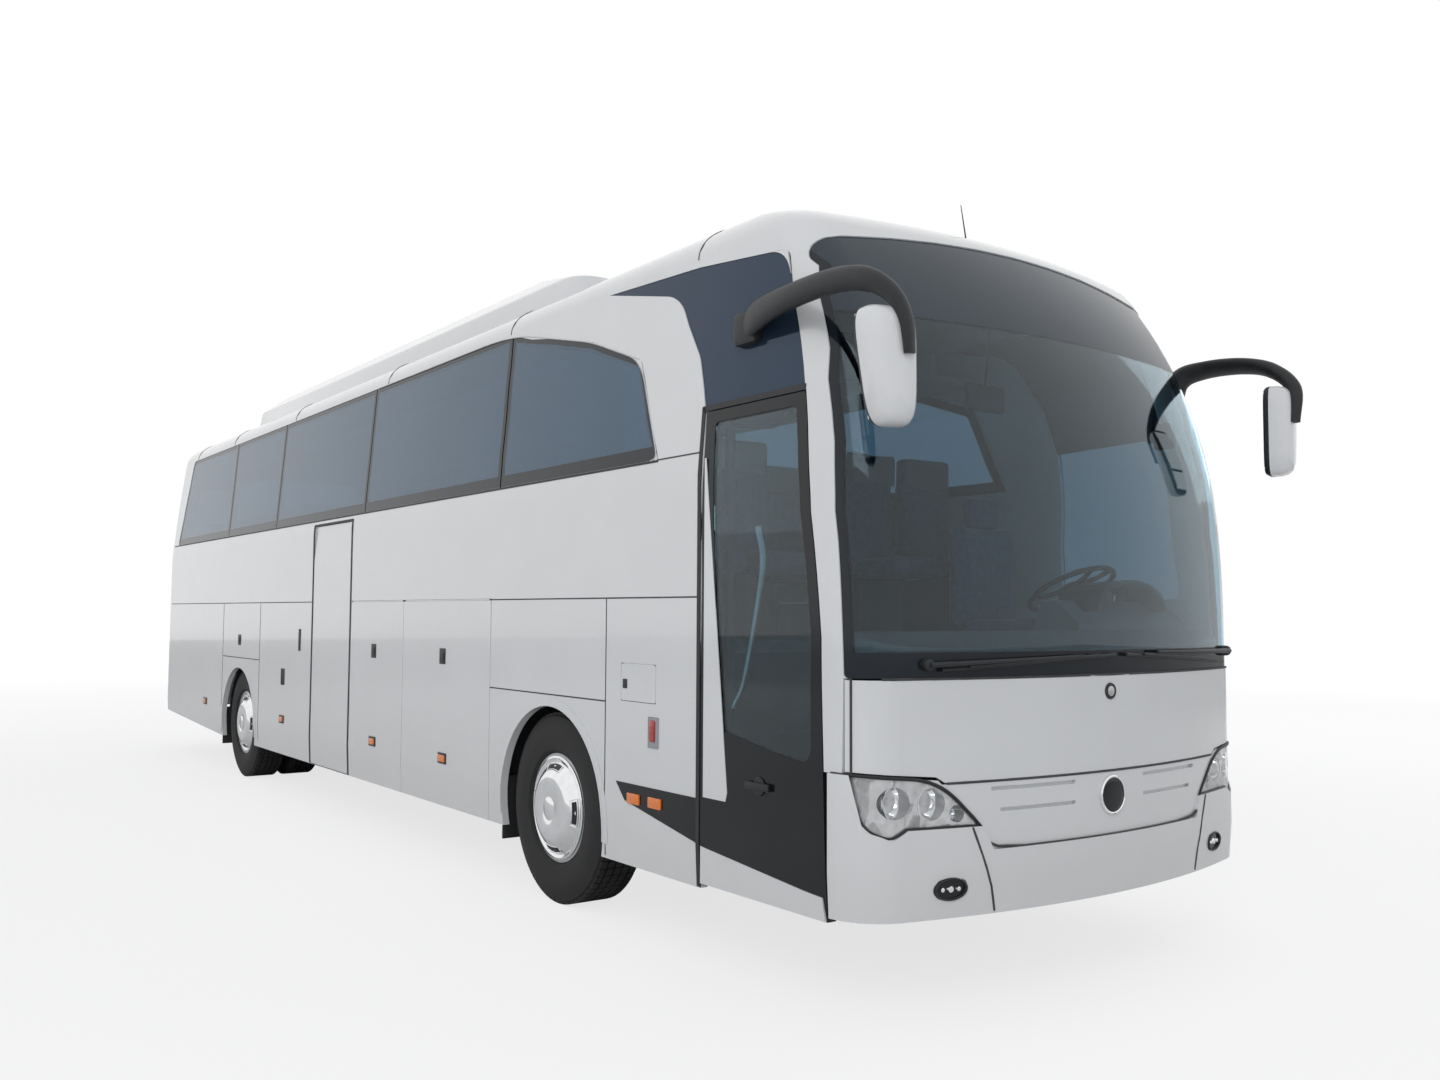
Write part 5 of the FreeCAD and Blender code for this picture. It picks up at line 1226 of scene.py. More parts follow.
def tyre_profile(width):
    """Rounded section of a tyre as (radius, along) points, starting and ending at the bead."""
    bead = 0.293
    half = width / 2
    crown = TYRE_RADIUS - 0.001
    wall = [
        (bead, half - 0.035),
        (bead + 0.02, half - 0.012),
        (bead + 0.075, half - 0.002),
        (bead + 0.125, half),
        (crown - 0.055, half - 0.01),
        (crown - 0.02, half - 0.022),
        (crown - sizes().tread_depth, half - 0.034),
    ]
    inner = [(radius, -along) for radius, along in wall]
    return inner + wall[::-1] + inner[:1]


def tread_meshes(centre, width):
    """Ribs of leaning tread blocks round a tyre."""
    usable = width - 0.066
    rib = (usable - (RIB_COUNT - 1) * RIB_GAP) / RIB_COUNT
    count = sizes().tread_blocks
    long = math.tau * TYRE_RADIUS / count * 0.44
    top = TYRE_RADIUS - 0.0008
    meshes = []
    for index in range(RIB_COUNT):
        y = -usable / 2 + rib / 2 + index * (rib + RIB_GAP)
        lean = 0.003 if index % 2 else -0.003
        ends = ((-1, -1), (1, -1), (1, 1), (-1, 1))
        outline = [(along * long - across * lean, y + across * rib / 2, top) for along, across in ends]
        block = bmesh.new()
        add_prism(block, outline, Vector((0, 0, -sizes().tread_depth - 0.004)))
        meshes.append(repeated(block, "ring", count, "tyre_rubber", centre=centre, smooth_angle=20))
    return meshes


def arc_outline(far, near, degrees, steps, out):
    """A closed outline between a far and a near (share of the cover, along), over an arc to both sides."""
    arc = [math.radians(-degrees + 2 * degrees * step / steps) for step in range(steps + 1)]
    return [
        Vector((COVER_RADIUS * share * math.sin(turn), out * along, COVER_RADIUS * share * math.cos(turn)))
        for (share, along), turns in ((far, arc), (near, arc[::-1]))
        for turn in turns
    ]


def cover_meshes(centre, out):
    """A bright domed cap with a flat middle, four curved slots and a rolled edge, facing outwards."""
    r = COVER_RADIUS
    edge = [(r, -0.02), (r + 0.014, -0.004), (r + 0.012, 0.008), (r + 0.002, 0.012), (r - 0.008, 0.004)]
    dome = [(r - 0.02, 0.004), (r * 0.86, 0.022), (r * 0.74, 0.044), (r * 0.66, 0.054), (r * 0.62, 0.056)]
    cap = [(r * 0.27, 0.061), (r * 0.25, 0.058), (r * 0.23, 0.058), (r * 0.21, 0.061), (0, 0.063)]
    face = bmesh.new()
    add_lathe(face, edge + dome + cap, centre, (0, out, 0), 72)
    slots = bmesh.new()
    add_prism(slots, arc_outline((0.885, 0.0205), (0.8, 0.0345), 15, 10, out), Vector((0, -out * 0.006, 0)))
    lips = bmesh.new()
    loop = arc_outline((0.91, 0.017), (0.775, 0.0375), 18, 12, out)
    add_tube(lips, loop + loop[:1], 0.0035, 6)
    return [
        painted(mesh_of(face, "cover", 40), "bright_chrome"),
        repeated(slots, "ring", 4, "black_plastic", centre=centre),
        repeated(lips, "ring", 4, "bright_chrome", centre=centre),
    ]


def rim_mesh(centre, width, out):
    """The steel rim under the cover: a flanged barrel and a dished disc."""
    half = width / 2
    disc = [(0.05, -0.03), (0.2, -0.02), (0.262, 0.03)]
    barrel = [(0.275, -half + 0.045), (0.29, -half + 0.03), (0.292, half - 0.03), (0.278, half - 0.03)]
    back = [(0.27, 0.05), (0.2, 0.0), (0.05, -0.005), (0.05, -0.03)]
    work = bmesh.new()
    add_lathe(work, disc + barrel + back, centre, (0, out, 0), 72)
    return painted(mesh_of(work, "rim", 35), "wheel_metal")


def build_wheel(tyre, rim, body, centres, width, out, inset):
    """Tyres with tread, their rims and one cover on the outermost."""
    meshes = []
    for centre in centres:
        work = bmesh.new()
        add_lathe(work, tyre_profile(width), centre, (0, 1, 0), 96)
        meshes += [painted(mesh_of(work, tyre, 35), "tyre_rubber"), *tread_meshes(centre, width)]
    add_piece(f"{tyre}_dressed", joined(tyre, meshes), slot="tyre", body=body, replaces=(tyre,))
    meshes = [rim_mesh(centre, width, out) for centre in centres]
    meshes += cover_meshes(centres[0] + Vector((0, out * (width / 2 - inset), 0)), out)
    add_piece(f"{rim}_dressed", joined(rim, meshes), slot="wheel", body=body, replaces=(rim,))


# Mirrors and wipers


MIRROR_CENTRE = (2.703, 1.35, 2.485)
MIRROR_TURN = math.radians(18)
MIRROR_RINGS = (
    (-0.06, 0.112, 0.214, 5.0),
    (-0.05, 0.118, 0.222, 5.0),
    (-0.034, 0.12, 0.225, 5.0),
    (-0.034, 0.1195, 0.2245, 5.0),
    (0.004, 0.118, 0.223, 4.6),
    (0.032, 0.109, 0.215, 4.2),
    (0.052, 0.09, 0.199, 3.6),
    (0.064, 0.06, 0.17, 3.0),
    (0.068, 0.02, 0.11, 2.4),
)
MIRROR_ARMS = {
    -1: ((1.72, -1.235, 2.83), (1.86, -1.285, 2.85), (2.1, -1.33, 2.862), (2.4, -1.355, 2.862), (2.6, -1.36, 2.83),
         (2.725, -1.345, 2.755), (2.782, -1.325, 2.65), (2.789, -1.312, 2.52)),
    1: ((2.135, 1.262, 2.5), (2.14, 1.285, 2.68), (2.17, 1.31, 2.82), (2.3, 1.34, 2.858), (2.5, 1.36, 2.85),
        (2.66, 1.36, 2.8), (2.775, 1.345, 2.69), (2.789, 1.312, 2.52)),
}
ARM_SECTIONS = {
    -1: ((0.03, 0.075), (0.032, 0.068), (0.032, 0.056), (0.032, 0.052), (0.034, 0.048), (0.036, 0.036),
         (0.036, 0.024), (0.03, 0.016)),
    1: ((0.062, 0.032), (0.064, 0.036), (0.058, 0.056), (0.034, 0.06), (0.032, 0.056), (0.036, 0.046),
        (0.036, 0.026), (0.03, 0.016)),
}


def mirror_point(side, depth, outward, height):
    """A place on a mirror head: depth is forwards, and the outer side narrows towards the foot."""
    narrow = 0.7 + 0.3 * min(max((height / 0.225 + 1) / 2, 0), 1) ** 0.8
    outward = -0.118 + (outward + 0.118) * narrow
    turn = Matrix.Rotation(side * MIRROR_TURN, 3, "Z")
    x, y, z = MIRROR_CENTRE
    return turn @ Vector((depth, side * outward, height)) + Vector((ahead(x), side * y, z))


def mirror_shell(side):
    """A painted shell with a black rim and back, from rounded squares of falling size."""
    work = bmesh.new()
    circle = [(math.cos(math.tau * step / 56), math.sin(math.tau * step / 56)) for step in range(56)]

    def spread(reach, value, power):
        return reach * math.copysign(abs(value) ** (2 / power), value)

    bands = add_rings(work, [
        [mirror_point(side, depth, spread(across, c, power), spread(tall, s, power)) for c, s in circle]
        for depth, across, tall, power in MIRROR_RINGS
    ])
    for band in (*bands[:3], bands[-2]):
        for face in band:
            face.material_index = 1
    return painted(mesh_of(work, "mirror_shell", 50), "body_paint", "black_plastic")


def mirror_panes(side):
    """The main and the wide-angle glass on the back of a head, shaped as it is."""
    work = bmesh.new()
    for z_low, z_high in ((-0.195, -0.08), (-0.062, 0.197)):
        rims = []
        for depth in (-0.0625, -0.058):
            grid = []
            for z in [z_low + (z_high - z_low) * row / 4 for row in range(5)]:
                grid.append([work.verts.new(mirror_point(side, depth, -0.1 + 0.05 * column, z)) for column in range(5)])
            for below, above in zip(grid, grid[1:]):
                for a in range(4):
                    work.faces.new((below[a], below[a + 1], above[a + 1], above[a]))
            ends = [line[-1] for line in grid[1:]], [line[0] for line in grid[-2:0:-1]]
            rims.append(grid[0] + ends[0] + grid[-1][-2::-1] + ends[1])
        for a in range(len(rims[0])):
            work.faces.new((rims[0][a - 1], rims[0][a], rims[1][a], rims[1][a - 1]))
    return painted(mesh_of(work, "mirror_panes", 30), "mirror_silver")


def build_mirror_arms():
    arms = bmesh.new()
    for side, line in MIRROR_ARMS.items():
        path = smooth_path([(ahead(x), y, z) for x, y, z in line])
        marks = np.linspace(0, len(path) - 1, len(line))
        wide, tall = (np.interp(range(len(path)), marks, size) for size in zip(*ARM_SECTIONS[side]))
        add_tube(arms, path, [(float(a), float(b)) for a, b in zip(wide, tall)], 20)
    add_blocks(arms, (1.64, 1.8, -1.268, -1.2, 2.745, 2.895, 0.024), (2.07, 2.2, 1.2, 1.29, 2.44, 2.6, 0.024))
    add_piece("mirror_arm_bars", arms, "black_plastic", smooth=50, replaces=("mirror_arms",))


BLADE_LENGTH = 0.95
WIPERS = (((-0.987, 1.373), (-0.2, 1.4)), ((1.107, 1.4), (0.32, 1.41)))


def add_wiper(work, pivot, tip):
    """A pivot cap, an arm to the tip, and a blade with its holder along the foot of the glass."""
    (y0, z0), (y1, z1) = pivot, tip
    place, normal = front_point(y0, z0)
    add_lathe(work, [(0, 0.03), (0.018, 0.03), (0.024, 0.02), (0.026, -0.01)], place, normal, 24)
    arm = [front_point(y0 + (y1 - y0) * k / 12, z0 + (z1 - z0) * k / 12, 0.028)[0] for k in range(13)]
    add_tube(work, arm, [0.012 - 0.006 * k / 12 for k in range(13)])
    way = math.copysign(1, y1 - y0)
    along = [y0 + way * (0.06 + BLADE_LENGTH * k / 24) for k in range(25)]
    blade = [front_point(y, 1.352 + 0.05 * k / 24, 0.012)[0] for k, y in enumerate(along)]
    add_tube(work, blade, 0.008)
    holder = [
        front_point(y, 1.358 + 0.05 * k / 24, 0.022 + 0.006 * math.sin(math.pi * k / 24))[0]
        for k, y in enumerate(along)
    ]
    add_tube(work, holder[3:22], 0.006)


# Cabin


PAD_SWELL = 0.012
SEAT_GAP = 0.008
CLOTH_FRAMES = 20
HEAD_TAPER_FROM = 0.72


def loose_boxes(node):
    """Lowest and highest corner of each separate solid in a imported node."""
    work = bmesh.new()
    work.from_mesh(frame["nodes"][node].data)
    bmesh.ops.remove_doubles(work, verts=work.verts, dist=1e-5)
    seen = set()
    boxes = []
    for vert in work.verts:
        if vert in seen:
            continue
        group = [vert]
        seen.add(vert)
        for item in group:
            for edge in item.link_edges:
                other = edge.other_vert(item)
                if other not in seen:
                    seen.add(other)
                    group.append(other)
        boxes.append([Vector([pick(item.co[axis] for item in group) for axis in range(3)]) for pick in (min, max)])
    work.free()
    return boxes


def padded_mesh(name, low, high):
    """A cushion that fills a box: a rounded block puffed up by a short cloth run."""
    low, high = Vector(low), Vector(high)
    work = bmesh.new()
    inset = Vector((PAD_SWELL, PAD_SWELL, PAD_SWELL))
    add_block(work, low + inset, high - inset, min(high - low) * 0.3)
    base = new_object(name, mesh_of(work, name))
    remesh = base.modifiers.new("remesh", "REMESH")
    remesh.mode = "VOXEL"
    remesh.voxel_size = sizes().cushion_cell
    mesh = solved_mesh(base)
    bpy.data.objects.remove(base)
    cushion = new_object(name, mesh)
    before = [vert.co.copy() for vert in mesh.vertices]
    cloth = cushion.modifiers.new("cloth", "CLOTH")
    cloth.settings.use_pressure = True
    cloth.settings.uniform_pressure_force = 4.0
    cloth.settings.effector_weights.gravity = 0.0
    cloth.point_cache.frame_start = 1
    cloth.point_cache.frame_end = CLOTH_FRAMES
    scene = bpy.context.scene
    for step in range(1, CLOTH_FRAMES + 1):
        scene.frame_set(step)
    puffed = solved_mesh(cushion)
    scene.frame_set(1)
    bpy.data.objects.remove(cushion)
    for vert, start in zip(puffed.vertices, before):
        move = vert.co - start
        if move.length > PAD_SWELL:
            vert.co = start + move.normalized() * PAD_SWELL
    return puffed


def build_passenger_seats():
    """Every double seat as two pads side by side, all copies of one back and one cushion."""
    boxes = loose_boxes("passenger_seats")
    tall = [item for item in boxes if item[1].z - item[0].z > 0.5]
    flat = [item for item in boxes if item[1].z - item[0].z <= 0.5]
    for name, group in (("seat_backs", tall), ("seat_cushions", flat)):
        size = group[0][1] - group[0][0]
        half_size = Vector((size.x, size.y / 2 - SEAT_GAP, size.z))
        pad = padded_mesh(name, (0, 0, 0), half_size)
        if name == "seat_backs":
            for vert in pad.vertices:
                past = max(vert.co.z / half_size.z - HEAD_TAPER_FROM, 0) / (1 - HEAD_TAPER_FROM)
                vert.co.y = half_size.y / 2 + (vert.co.y - half_size.y / 2) * (1 - 0.16 * past)
        work = bmesh.new()
        for box_low, _ in group:
            for part in (0, 1):
                copy = pad.copy()
                copy.transform(Matrix.Translation(box_low + Vector((0, part * (size.y / 2 + SEAT_GAP), 0))))
                work.from_mesh(copy)
                bpy.data.meshes.remove(copy)
        for face in work.faces:
            face.smooth = True
        mesh = bpy.data.meshes.new(name)
        work.to_mesh(mesh)
        work.free()
        piece = add_piece(name, mesh, "seat_cloth", "seat_cloth", replaces=("passenger_seats",))
    caps = bmesh.new()
    for low, high in tall:
        half = (high.y - low.y) / 2
        for y in (low.y + 0.05, low.y + half + 0.05):
            add_block(caps, (low.x + 0.012, y, high.z - 0.2), (low.x + 0.128, y + half - 0.1, high.z - 0.01), 0.03)
    add_piece("head_pads", caps, "cabin_plastic", "seat_cloth", smooth=60)


def build_driver_seat():
    low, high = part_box("driver_seat")
    pads = [
        padded_mesh("driver_cushion", (low.x + 0.1, low.y, 1.43), (high.x, high.y, 1.55)),
        padded_mesh("driver_back", (low.x, low.y, 1.47), (low.x + 0.13, high.y, 2.06)),
        padded_mesh("driver_head", (low.x + 0.01, low.y + 0.11, 2.02), (low.x + 0.12, high.y - 0.11, 2.21)),
    ]
    for mesh in pads:
        mesh.materials.clear()
        painted(mesh, "seat_cloth")
        for polygon in mesh.polygons:
            polygon.use_smooth = True
    piece = add_piece("driver_pads", joined("driver_pads", pads), slot="seat_cloth", replaces=("driver_seat",))
    x = low.x - AXLE_X
    y = (low.y + high.y) / 2
    bellows = [(x + 0.16, x + 0.54, y - 0.16, y + 0.16, z, z + 0.03, 0.012) for z in np.arange(5) * 0.038 + 1.2]
    foot = (x + 0.18, x + 0.52, y - 0.14, y + 0.14, low.z, 1.2, 0.02)
    plate = (x + 0.14, x + 0.56, y - 0.2, y + 0.2, 1.39, 1.43, 0.01)
    add_piece("driver_seat_base", blocks(foot, *bellows, plate), "black_plastic", smooth=40)


WHEEL_CENTRE = (1.985, 0.62, 1.7)
WHEEL_TILT = math.radians(28)
WHEEL_HUB = ((0, 0.018), (0.05, 0.02), (0.072, 0.008), (0.072, -0.012), (0.04, -0.03), (0.032, -0.2), (0, -0.2))


def build_steering_wheel():
    x, y, z = WHEEL_CENTRE
    centre = Vector((ahead(x), y, z))
    axis = Vector((-math.sin(WHEEL_TILT), 0, math.cos(WHEEL_TILT)))
    wheel = bmesh.new()
    turns = [math.tau * k / 14 for k in range(15)]
    add_lathe(wheel, [(0.22 + 0.0135 * math.cos(turn), 0.0135 * math.sin(turn)) for turn in turns], centre, axis, 64)
    add_lathe(wheel, WHEEL_HUB, centre, axis, 32)
    across = Vector((0, 1, 0))
    upward = axis.cross(across)
    for angle in (0.5, math.pi - 0.5, math.pi * 1.5 - 0.35, math.pi * 1.5 + 0.35):
        way = across * math.cos(angle) + upward * math.sin(angle)
        spoke = [centre + way * 0.05, centre + way * 0.14 - axis * 0.006, centre + way * 0.212]
        add_tube(wheel, spoke, [0.016, 0.012, 0.014], 10)
    add_piece("driver_wheel", wheel, "black_plastic", smooth=60, replaces=("steering_wheel",))


def build_dashboard_parts():
    hood = bmesh.new()
    arch = [math.pi * step / 13 for step in range(14)]
    edge = [(0.62 + 0.27 * math.cos(turn), 1.6 + 0.13 * math.sin(turn)) for turn in arch]
    for (y0, z0), (y1, z1) in zip(edge, edge[1:]):
        outline = [(ahead(2.1), y, z) for y, z in ((y0, z0), (y1, z1), (y1, z1 - 0.02), (y0, z0 - 0.02))]
        add_prism(hood, outline, Vector((0.24, 0, 0.01)))
    add_piece("instrument_hood", hood, "black_plastic", "cabin_plastic", smooth=40)
    dials = bmesh.new()
    for y in (0.5, 0.62, 0.74):
        rim = [(0.045, 0), (0.05, 0.006), (0.046, 0.01), (0.043, 0.004), (0, 0.003)]
        add_lathe(dials, rim, (ahead(2.2), y, 1.645), (-1, 0, 0.25), 28)
    add_piece("dials", dials, "black_gloss", smooth=40)


def build_cabin_lining():
    lining = bmesh.new()
    section = [(1.12, 3.2), (0.95, 3.31), (0.6, ROOF_TOP - 0.075)]
    section = [(-y, z) for y, z in section] + section[::-1]
    inner = [(y, z + 0.012) for y, z in reversed(section)]
    add_prism(lining, [(ahead(-8.6), y, z) for y, z in section + inner], Vector((9.9, 0, 0)))
    add_piece("ceiling_lining", lining, "pale_lining", "cabin_plastic")
    screen = blocks((1.05, 1.09, -0.22, 0.22, 2.82, 3.08, 0.01), (1.06, 1.08, -0.03, 0.03, 3.06, 3.37, 0.004))
    add_piece("cabin_monitor", screen, "black_gloss")
    mirror = blocks((1.93, 1.96, -0.1, 0.16, 2.55, 2.68, 0.012))
    add_tube(mirror, [(ahead(1.95), 0.03, 2.67), (ahead(1.98), 0.03, 2.95), (ahead(1.98), 0.03, 3.16)], 0.006)
    add_piece("cabin_mirror", mirror, "black_plastic")


# Operators, one for each group of pieces and one for the stage


class Step:
    """What all the dressing operators share: each can be undone."""

    bl_options = {"REGISTER", "UNDO"}


class COACH_OT_panels(Step, bpy.types.Operator):
    """Smooth painted body panels."""

    bl_idname = "coach.panels"
    bl_label = "Body panels"

    def execute(self, context):
        for node in ("front_frame", "arch_panels", "side_panels", "rear_panel", "front_flap"):
            skin_copy(node, "body_paint")
        for node in ("grille_panel", "front_bumper", "roof_shell"):
            skin_copy(node, "body_paint")
        flaps = [node for node in frame["nodes"] if node.startswith("luggage_flap")]
        dress_nodes("body_paint", "mid_door_leaf", "fuel_flap", "roof_hatch_front", "roof_hatch_rear", *flaps)
        return {"FINISHED"}


class COACH_OT_glass(Step, bpy.types.Operator):
    """Windscreen, side glass and black bands."""

    bl_idname = "coach.glass"
    bl_label = "Glass"

    def execute(self, context):
        build_windscreen()
        build_side_glass()
        build_window_corners()
        skin_copy("rear_window", "side_glass_tint")
        skin_copy("front_door_glass", "windscreen_glass")
        skin_copy("window_frame", "black_gloss")
        return {"FINISHED"}


class COACH_OT_seams(Step, bpy.types.Operator):
    """Panel seams, door seals and wheel arch lips on the sides."""

    bl_idname = "coach.seams"
    bl_label = "Seams and seals"

    def execute(self, context):
        work = bmesh.new()
        for side, lines in SIDE_SEAMS.items():
            for start, stop in lines + BOTH_SEAMS:
                add_side_line(work, side, start, stop, sizes().seam_width)
        add_piece("panel_seams", work, "seam_shadow", smooth=None)
        work = bmesh.new()
        for start, stop, share in DOOR_SEALS:
            add_side_line(work, -1, start, stop, sizes().seal_width * share, 0.004)
        for side in SIDES:
            add_side_line(work, side, *BELT_SEAL, 0.012, 0.002)
        add_piece("door_seals", work, "black_rubber", smooth=None)
        build_arch_lips()
        return {"FINISHED"}


class COACH_OT_side_fittings(Step, bpy.types.Operator):
    """Latches, marker lamps and handles."""

    bl_idname = "coach.side_fittings"
    bl_label = "Side fittings"

    def execute(self, context):
        build_side_fittings()
        return {"FINISHED"}


class COACH_OT_doors(Step, bpy.types.Operator):
    """Door skin, its white parts, handle and rail, and the door arms."""

    bl_idname = "coach.doors"
    bl_label = "Passenger doors"

    def execute(self, context):
        skin_copy("front_door_leaf", "black_gloss")
        white = bmesh.new()
        upper = [(1.452, 2.27), (1.462, 2.27), (1.632, 0.79), (1.62, 0.752), (1.452, 0.752)]
        lower = [(1.432, 0.37), (2.278, 0.37), (2.26, 0.46), (2.145, 0.467), (1.464, 0.53), (1.432, 0.534)]
        add_side_shape(white, upper, 0.003, 0.004)
        add_side_shape(white, lower, 0.001, 0.03)
        add_piece("door_white_parts", white, "body_paint", "paint", "front_door", None)
        handle = bmesh.new()
        boss = [(0, 0), (0.035, 0), (0.04, 0.004), (0.036, 0.01), (0, 0.01)]
        add_lathe(handle, boss, (ahead(1.86), -HALF_WIDTH, 0.845), (0, -1, 0), 24)
        add_blocks(handle, (1.78, 1.94, -HALF_WIDTH - 0.02, -HALF_WIDTH - 0.006, 0.83, 0.862, 0.006))
        add_piece("door_handle", handle, "black_plastic", body="front_door")
        path = [(1.56, -1.19, 1.15), (1.6, -1.15, 1.3), (1.72, -1.15, 1.75), (1.74, -1.19, 1.95)]
        rail = bmesh.new()
        add_tube(rail, smooth_path([(ahead(x), y, z) for x, y, z in path]), 0.014, 12)
        add_piece("door_grab_rail", rail, "wheel_metal", "wheel", "front_door", 60)
        dress_nodes("chassis_paint", "front_door_arm", "mid_door_arm")
        return {"FINISHED"}


class COACH_OT_front(Step, bpy.types.Operator):
    """Headlamps, fog lamps, seams, lock and nose disc."""

    bl_idname = "coach.front"
    bl_label = "Front end"

    def execute(self, context):
        build_headlamps()
        build_nose_parts()
        build_fog_lamps()
        return {"FINISHED"}


class COACH_OT_rear(Step, bpy.types.Operator):
    """Rear lamps and the engine lid with its louvres and handle."""

    bl_idname = "coach.rear"
    bl_label = "Rear end"

    def execute(self, context):
        skin_copy("rear_lamps", "red_lens")
        rows = [1.08 + 0.055 * row for row in range(9)]
        near, far, half = 0.02, 0.62, 0.014
        cuts = [plane(1, y) for y in (-far, -near, near, far)]
        cuts += [plane(2, z + edge) for z in rows for edge in (-half, half)]

        def louvre(centre):
            return int(near < abs(centre.y) < far and any(abs(centre.z - z) < half for z in rows))

        skin_copy("engine_lid", "body_paint", cuts, louvre, ("black_plastic",), 0.014)
        handle = bmesh.new()
        add_block(handle, (cad_low.x + 0.001, -0.14, 0.94), (cad_low.x + 0.03, 0.14, 0.985), 0.01)
        add_piece("lid_handle", handle, "black_plastic", body="engine_lid")
        return {"FINISHED"}


class COACH_OT_roof(Step, bpy.types.Operator):
    """Roof unit, roof seams, aerial and vent."""

    bl_idname = "coach.roof"
    bl_label = "Roof"

    def execute(self, context):
        slat = bmesh.new()
        add_block(slat, (-0.004, -0.55, -0.012), (0.02, 0.55, 0.0), 0.003, Matrix.Rotation(-0.5, 3, "Y"))
        place = (ahead(-0.42), 0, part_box("roof_unit")[1].z - 0.1)
        add_piece("unit_louvres", repeated(slat, "row", 7, "black_plastic", (-0.062, 0, 0.0135), place))
        shell = bmesh.new()
        shell.from_mesh(frame["nodes"]["roof_unit"].data)
        bmesh.ops.remove_doubles(shell, verts=shell.verts, dist=1e-5)
        bmesh.ops.dissolve_limit(shell, angle_limit=math.radians(1), verts=shell.verts, edges=shell.edges)
        sharp = [edge for edge in shell.edges if len(edge.link_faces) == 2 and edge.calc_face_angle(0) > 0.2]
        edges = [edge for edge in sharp if edge.verts[0].co.z > ROOF_TOP + 0.01]
        bmesh.ops.bevel(shell, geom=edges, offset=0.06, segments=5, affect="EDGES", profile=0.5, clamp_overlap=True)
        slot = slot_of("roof_unit")
        add_piece("roof_unit_cover", shell, "body_paint", slot, smooth=40, replaces=("roof_unit",))
        seams = bmesh.new()
        for x in (1.27, -0.7, -2.7, -4.9, -6.9, -8.4):
            heights = np.append(np.linspace(3.24, 3.43, 14), (3.44, 3.447, ROOF_TOP))
            rise = [(ahead(x), -float(skin_level(z)[0]) + 0.002, z - 0.0015) for z in heights]
            across = [(ahead(x), y, ROOF_TOP - 0.0015) for y in np.linspace(-0.8, 0.8, 5)]
            add_tube(seams, rise + across + [(a, -b, c) for a, b, c in reversed(rise)], 0.005)
        add_piece("roof_seams", seams, "seam_shadow", smooth=60)
        mast = bmesh.new()
        x, z = ahead(1.864), 3.385
        add_lathe(mast, [(0, 0.03), (0.012, 0.03), (0.03, 0.012), (0.034, 0), (0, 0)], (x, 0, z), (0, 0, 1), 24)
        add_tube(mast, [(x, 0, z + 0.02), (x - 0.034, 0, z + 0.21)], [0.004, 0.002])
        add_piece("aerial", mast, "black_plastic", smooth=40)
        add_piece("roof_vent", blocks((1.45, 1.69, -0.52, -0.28, 3.41, 3.45, 0.012)), "black_plastic")
        return {"FINISHED"}


class COACH_OT_wheels(Step, bpy.types.Operator):
    """Tyres with tread, rims and covers."""

    bl_idname = "coach.wheels"
    bl_label = "Wheels"

    def execute(self, context):
        for side, out in (("right", -1), ("left", 1)):
            tyre = f"front_tyre_{side}"
            low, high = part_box(tyre)
            width = high.y - low.y
            centres = [(low + high) / 2]
            build_wheel(tyre, f"front_rim_{side}", f"front_wheel_{side}", centres, width, out, 0.03)
            tyres = f"rear_tyres_{side}"
            low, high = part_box(tyres)
            inner, outer = (low.y, high.y) if out > 0 else (high.y, low.y)
            rows = (outer - out * width / 2, inner + out * width / 2)
            centres = [Vector((REAR_AXLE_X, y, TYRE_RADIUS)) for y in rows]
            build_wheel(tyres, f"rear_rims_{side}", f"rear_wheels_{side}", centres, width, out, 0.045)
        return {"FINISHED"}


class COACH_OT_mirrors(Step, bpy.types.Operator):
    """Mirror shells, glass and arms."""

    bl_idname = "coach.mirrors"
    bl_label = "Mirrors"

    def execute(self, context):
        shells = joined("mirror_shells", [mirror_shell(side) for side in SIDES])
        add_piece("mirror_shells", shells, slot="paint", replaces=("mirror_heads",))
        add_piece("mirror_glass", joined("mirror_glass", [mirror_panes(side) for side in SIDES]), slot="wheel")
        build_mirror_arms()
        return {"FINISHED"}


class COACH_OT_wipers(Step, bpy.types.Operator):
    """Wiper arms and blades."""

    bl_idname = "coach.wipers"
    bl_label = "Wipers"

    def execute(self, context):
        work = bmesh.new()
        for pivot, tip in WIPERS:
            add_wiper(work, pivot, tip)
        add_piece("wiper_sets", work, "black_plastic", smooth=60, replaces=("wipers",))
        return {"FINISHED"}


class COACH_OT_cabin(Step, bpy.types.Operator):
    """Seats, dashboard, racks and lining."""

    bl_idname = "coach.cabin"
    bl_label = "Cabin"

    def execute(self, context):
        build_passenger_seats()
        build_driver_seat()
        dress_nodes("chassis_paint", "seat_legs")
        dress_nodes("floor_covering", "cabin_floor")
        dress_nodes("pale_lining", "parcel_racks")
        dress_nodes("cabin_plastic", "dashboard")
        build_steering_wheel()
        build_dashboard_parts()
        build_cabin_lining()
        return {"FINISHED"}


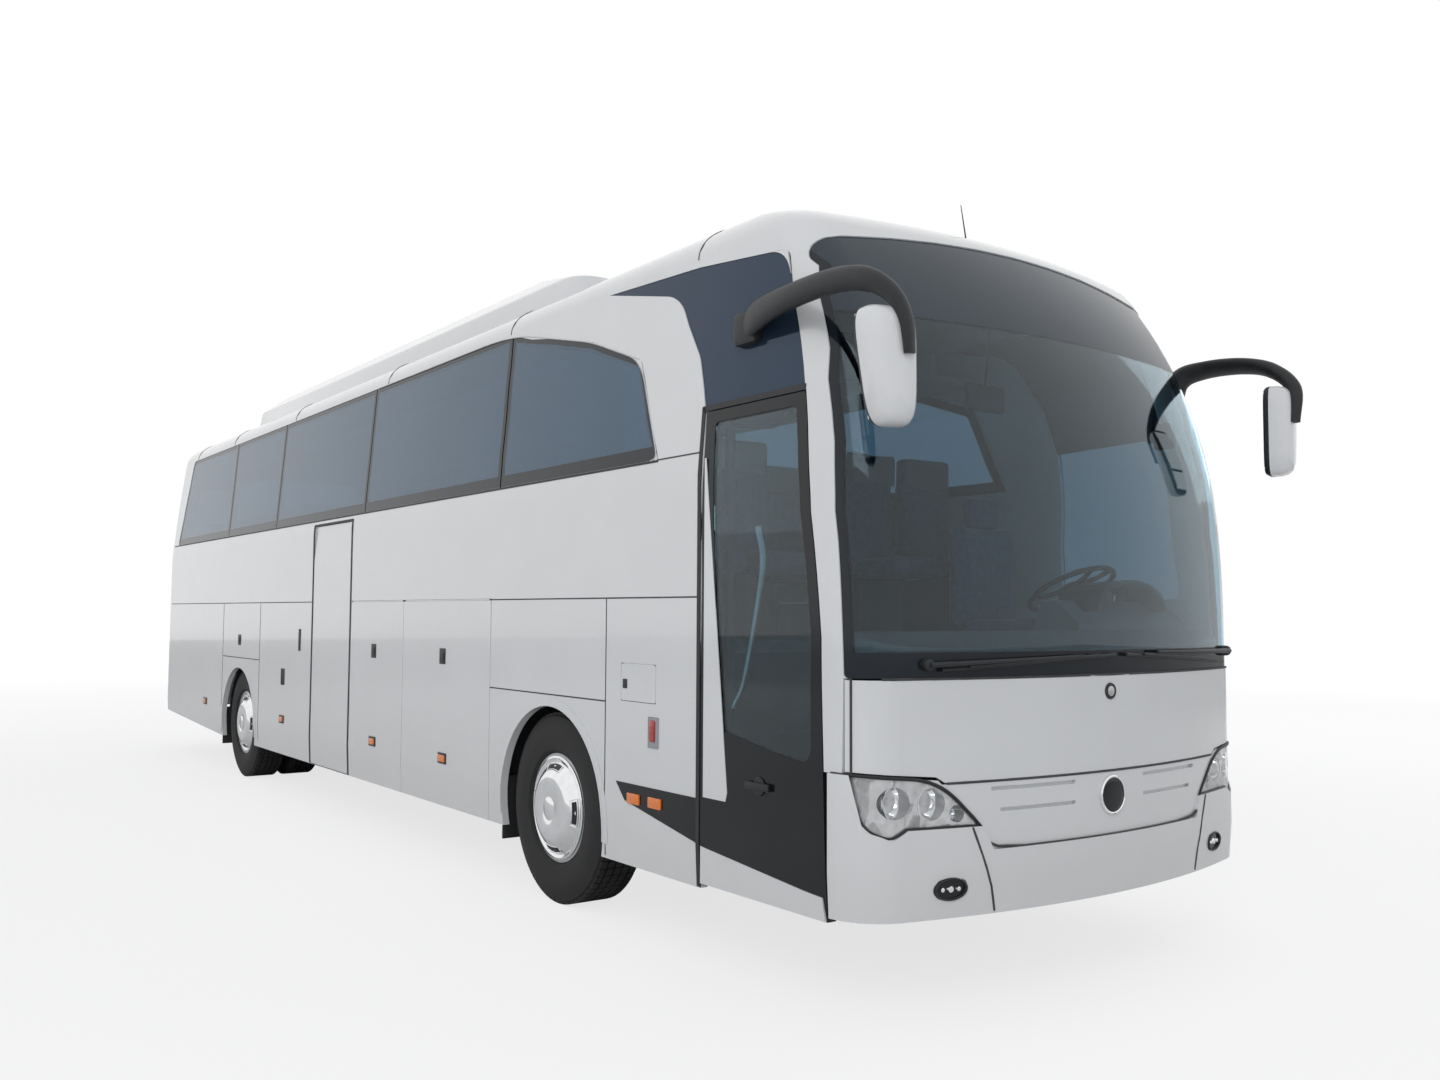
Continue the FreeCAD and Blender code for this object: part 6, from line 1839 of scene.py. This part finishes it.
class COACH_OT_underside(Step, bpy.types.Operator):
    """Axles, frame, liners and mud flaps."""

    bl_idname = "coach.underside"
    bl_label = "Underside"

    def execute(self, context):
        dress_nodes("chassis_paint", "underframe")
        dress_nodes("cast_metal", "front_axle", "rear_axle", "knuckle_right", "knuckle_left", "engine")
        rows = []
        for side in SIDES:
            for x, y, half in ((-0.6, 1.1, 0.15), (-6.82, 0.95, 0.3)):
                rows.append((x, x + 0.015, side * y - half, side * y + half, 0.26, 0.62, 0.003))
        add_piece("mud_flaps", blocks(*rows), "black_rubber")
        liners = bmesh.new()
        turns = [math.pi * step / 24 for step in range(25)]
        for x, radius in ((0.0, 0.63), (-6.2, 0.548)):
            arc = [(radius * math.cos(turn), radius * math.sin(turn)) for turn in turns]
            for side in SIDES:
                centre = Vector((ahead(x), side * 0.85, 0.5))
                for one, two in zip(arc, arc[1:]):
                    quad = [(one, 1), (two, 1), (two, 1.015), (one, 1.015)]
                    outline = [centre + Vector((a * share, -0.36, b * share)) for (a, b), share in quad]
                    add_prism(liners, outline, Vector((0, 0.72, 0)))
        add_piece("arch_liners", liners, "black_plastic")
        return {"FINISHED"}


class COACH_OT_stage(Step, bpy.types.Operator):
    """Floor, light and camera."""

    bl_idname = "coach.stage"
    bl_label = "Studio"

    def execute(self, context):
        build_floor()
        build_world()
        build_lights()
        place_camera()
        bpy.context.scene.view_settings.view_transform = "Standard"
        return {"FINISHED"}


OPERATORS = (
    COACH_OT_panels,
    COACH_OT_glass,
    COACH_OT_seams,
    COACH_OT_side_fittings,
    COACH_OT_doors,
    COACH_OT_front,
    COACH_OT_rear,
    COACH_OT_roof,
    COACH_OT_wheels,
    COACH_OT_mirrors,
    COACH_OT_wipers,
    COACH_OT_cabin,
    COACH_OT_underside,
    COACH_OT_stage,
)


class COACH_PT_dressing(bpy.types.Panel):
    """Lists the dressing steps and the sizes and colours they use."""

    bl_label = "Touring coach"
    bl_idname = "COACH_PT_dressing"
    bl_space_type = "VIEW_3D"
    bl_region_type = "UI"
    bl_category = "Coach"

    def draw(self, context):
        layout = self.layout
        for group in (context.scene.coach_colours, context.scene.coach_sizes):
            for name in group.bl_rna.properties.keys():
                if name not in ("rna_type", "name"):
                    layout.prop(group, name)
        for step in OPERATORS:
            layout.operator(step.bl_idname)


CLASSES = (CoachColours, CoachSizes, *OPERATORS, COACH_PT_dressing)


def register():
    for item in CLASSES:
        bpy.utils.register_class(item)
    bpy.types.Scene.coach_colours = PointerProperty(type=CoachColours)
    bpy.types.Scene.coach_sizes = PointerProperty(type=CoachSizes)


def unregister():
    del bpy.types.Scene.coach_sizes
    del bpy.types.Scene.coach_colours
    for item in reversed(CLASSES):
        bpy.utils.unregister_class(item)


def main():
    register()
    for step in OPERATORS:
        getattr(bpy.ops.coach, step.bl_idname.split(".")[1])()


if __name__ == "__main__":
    main()
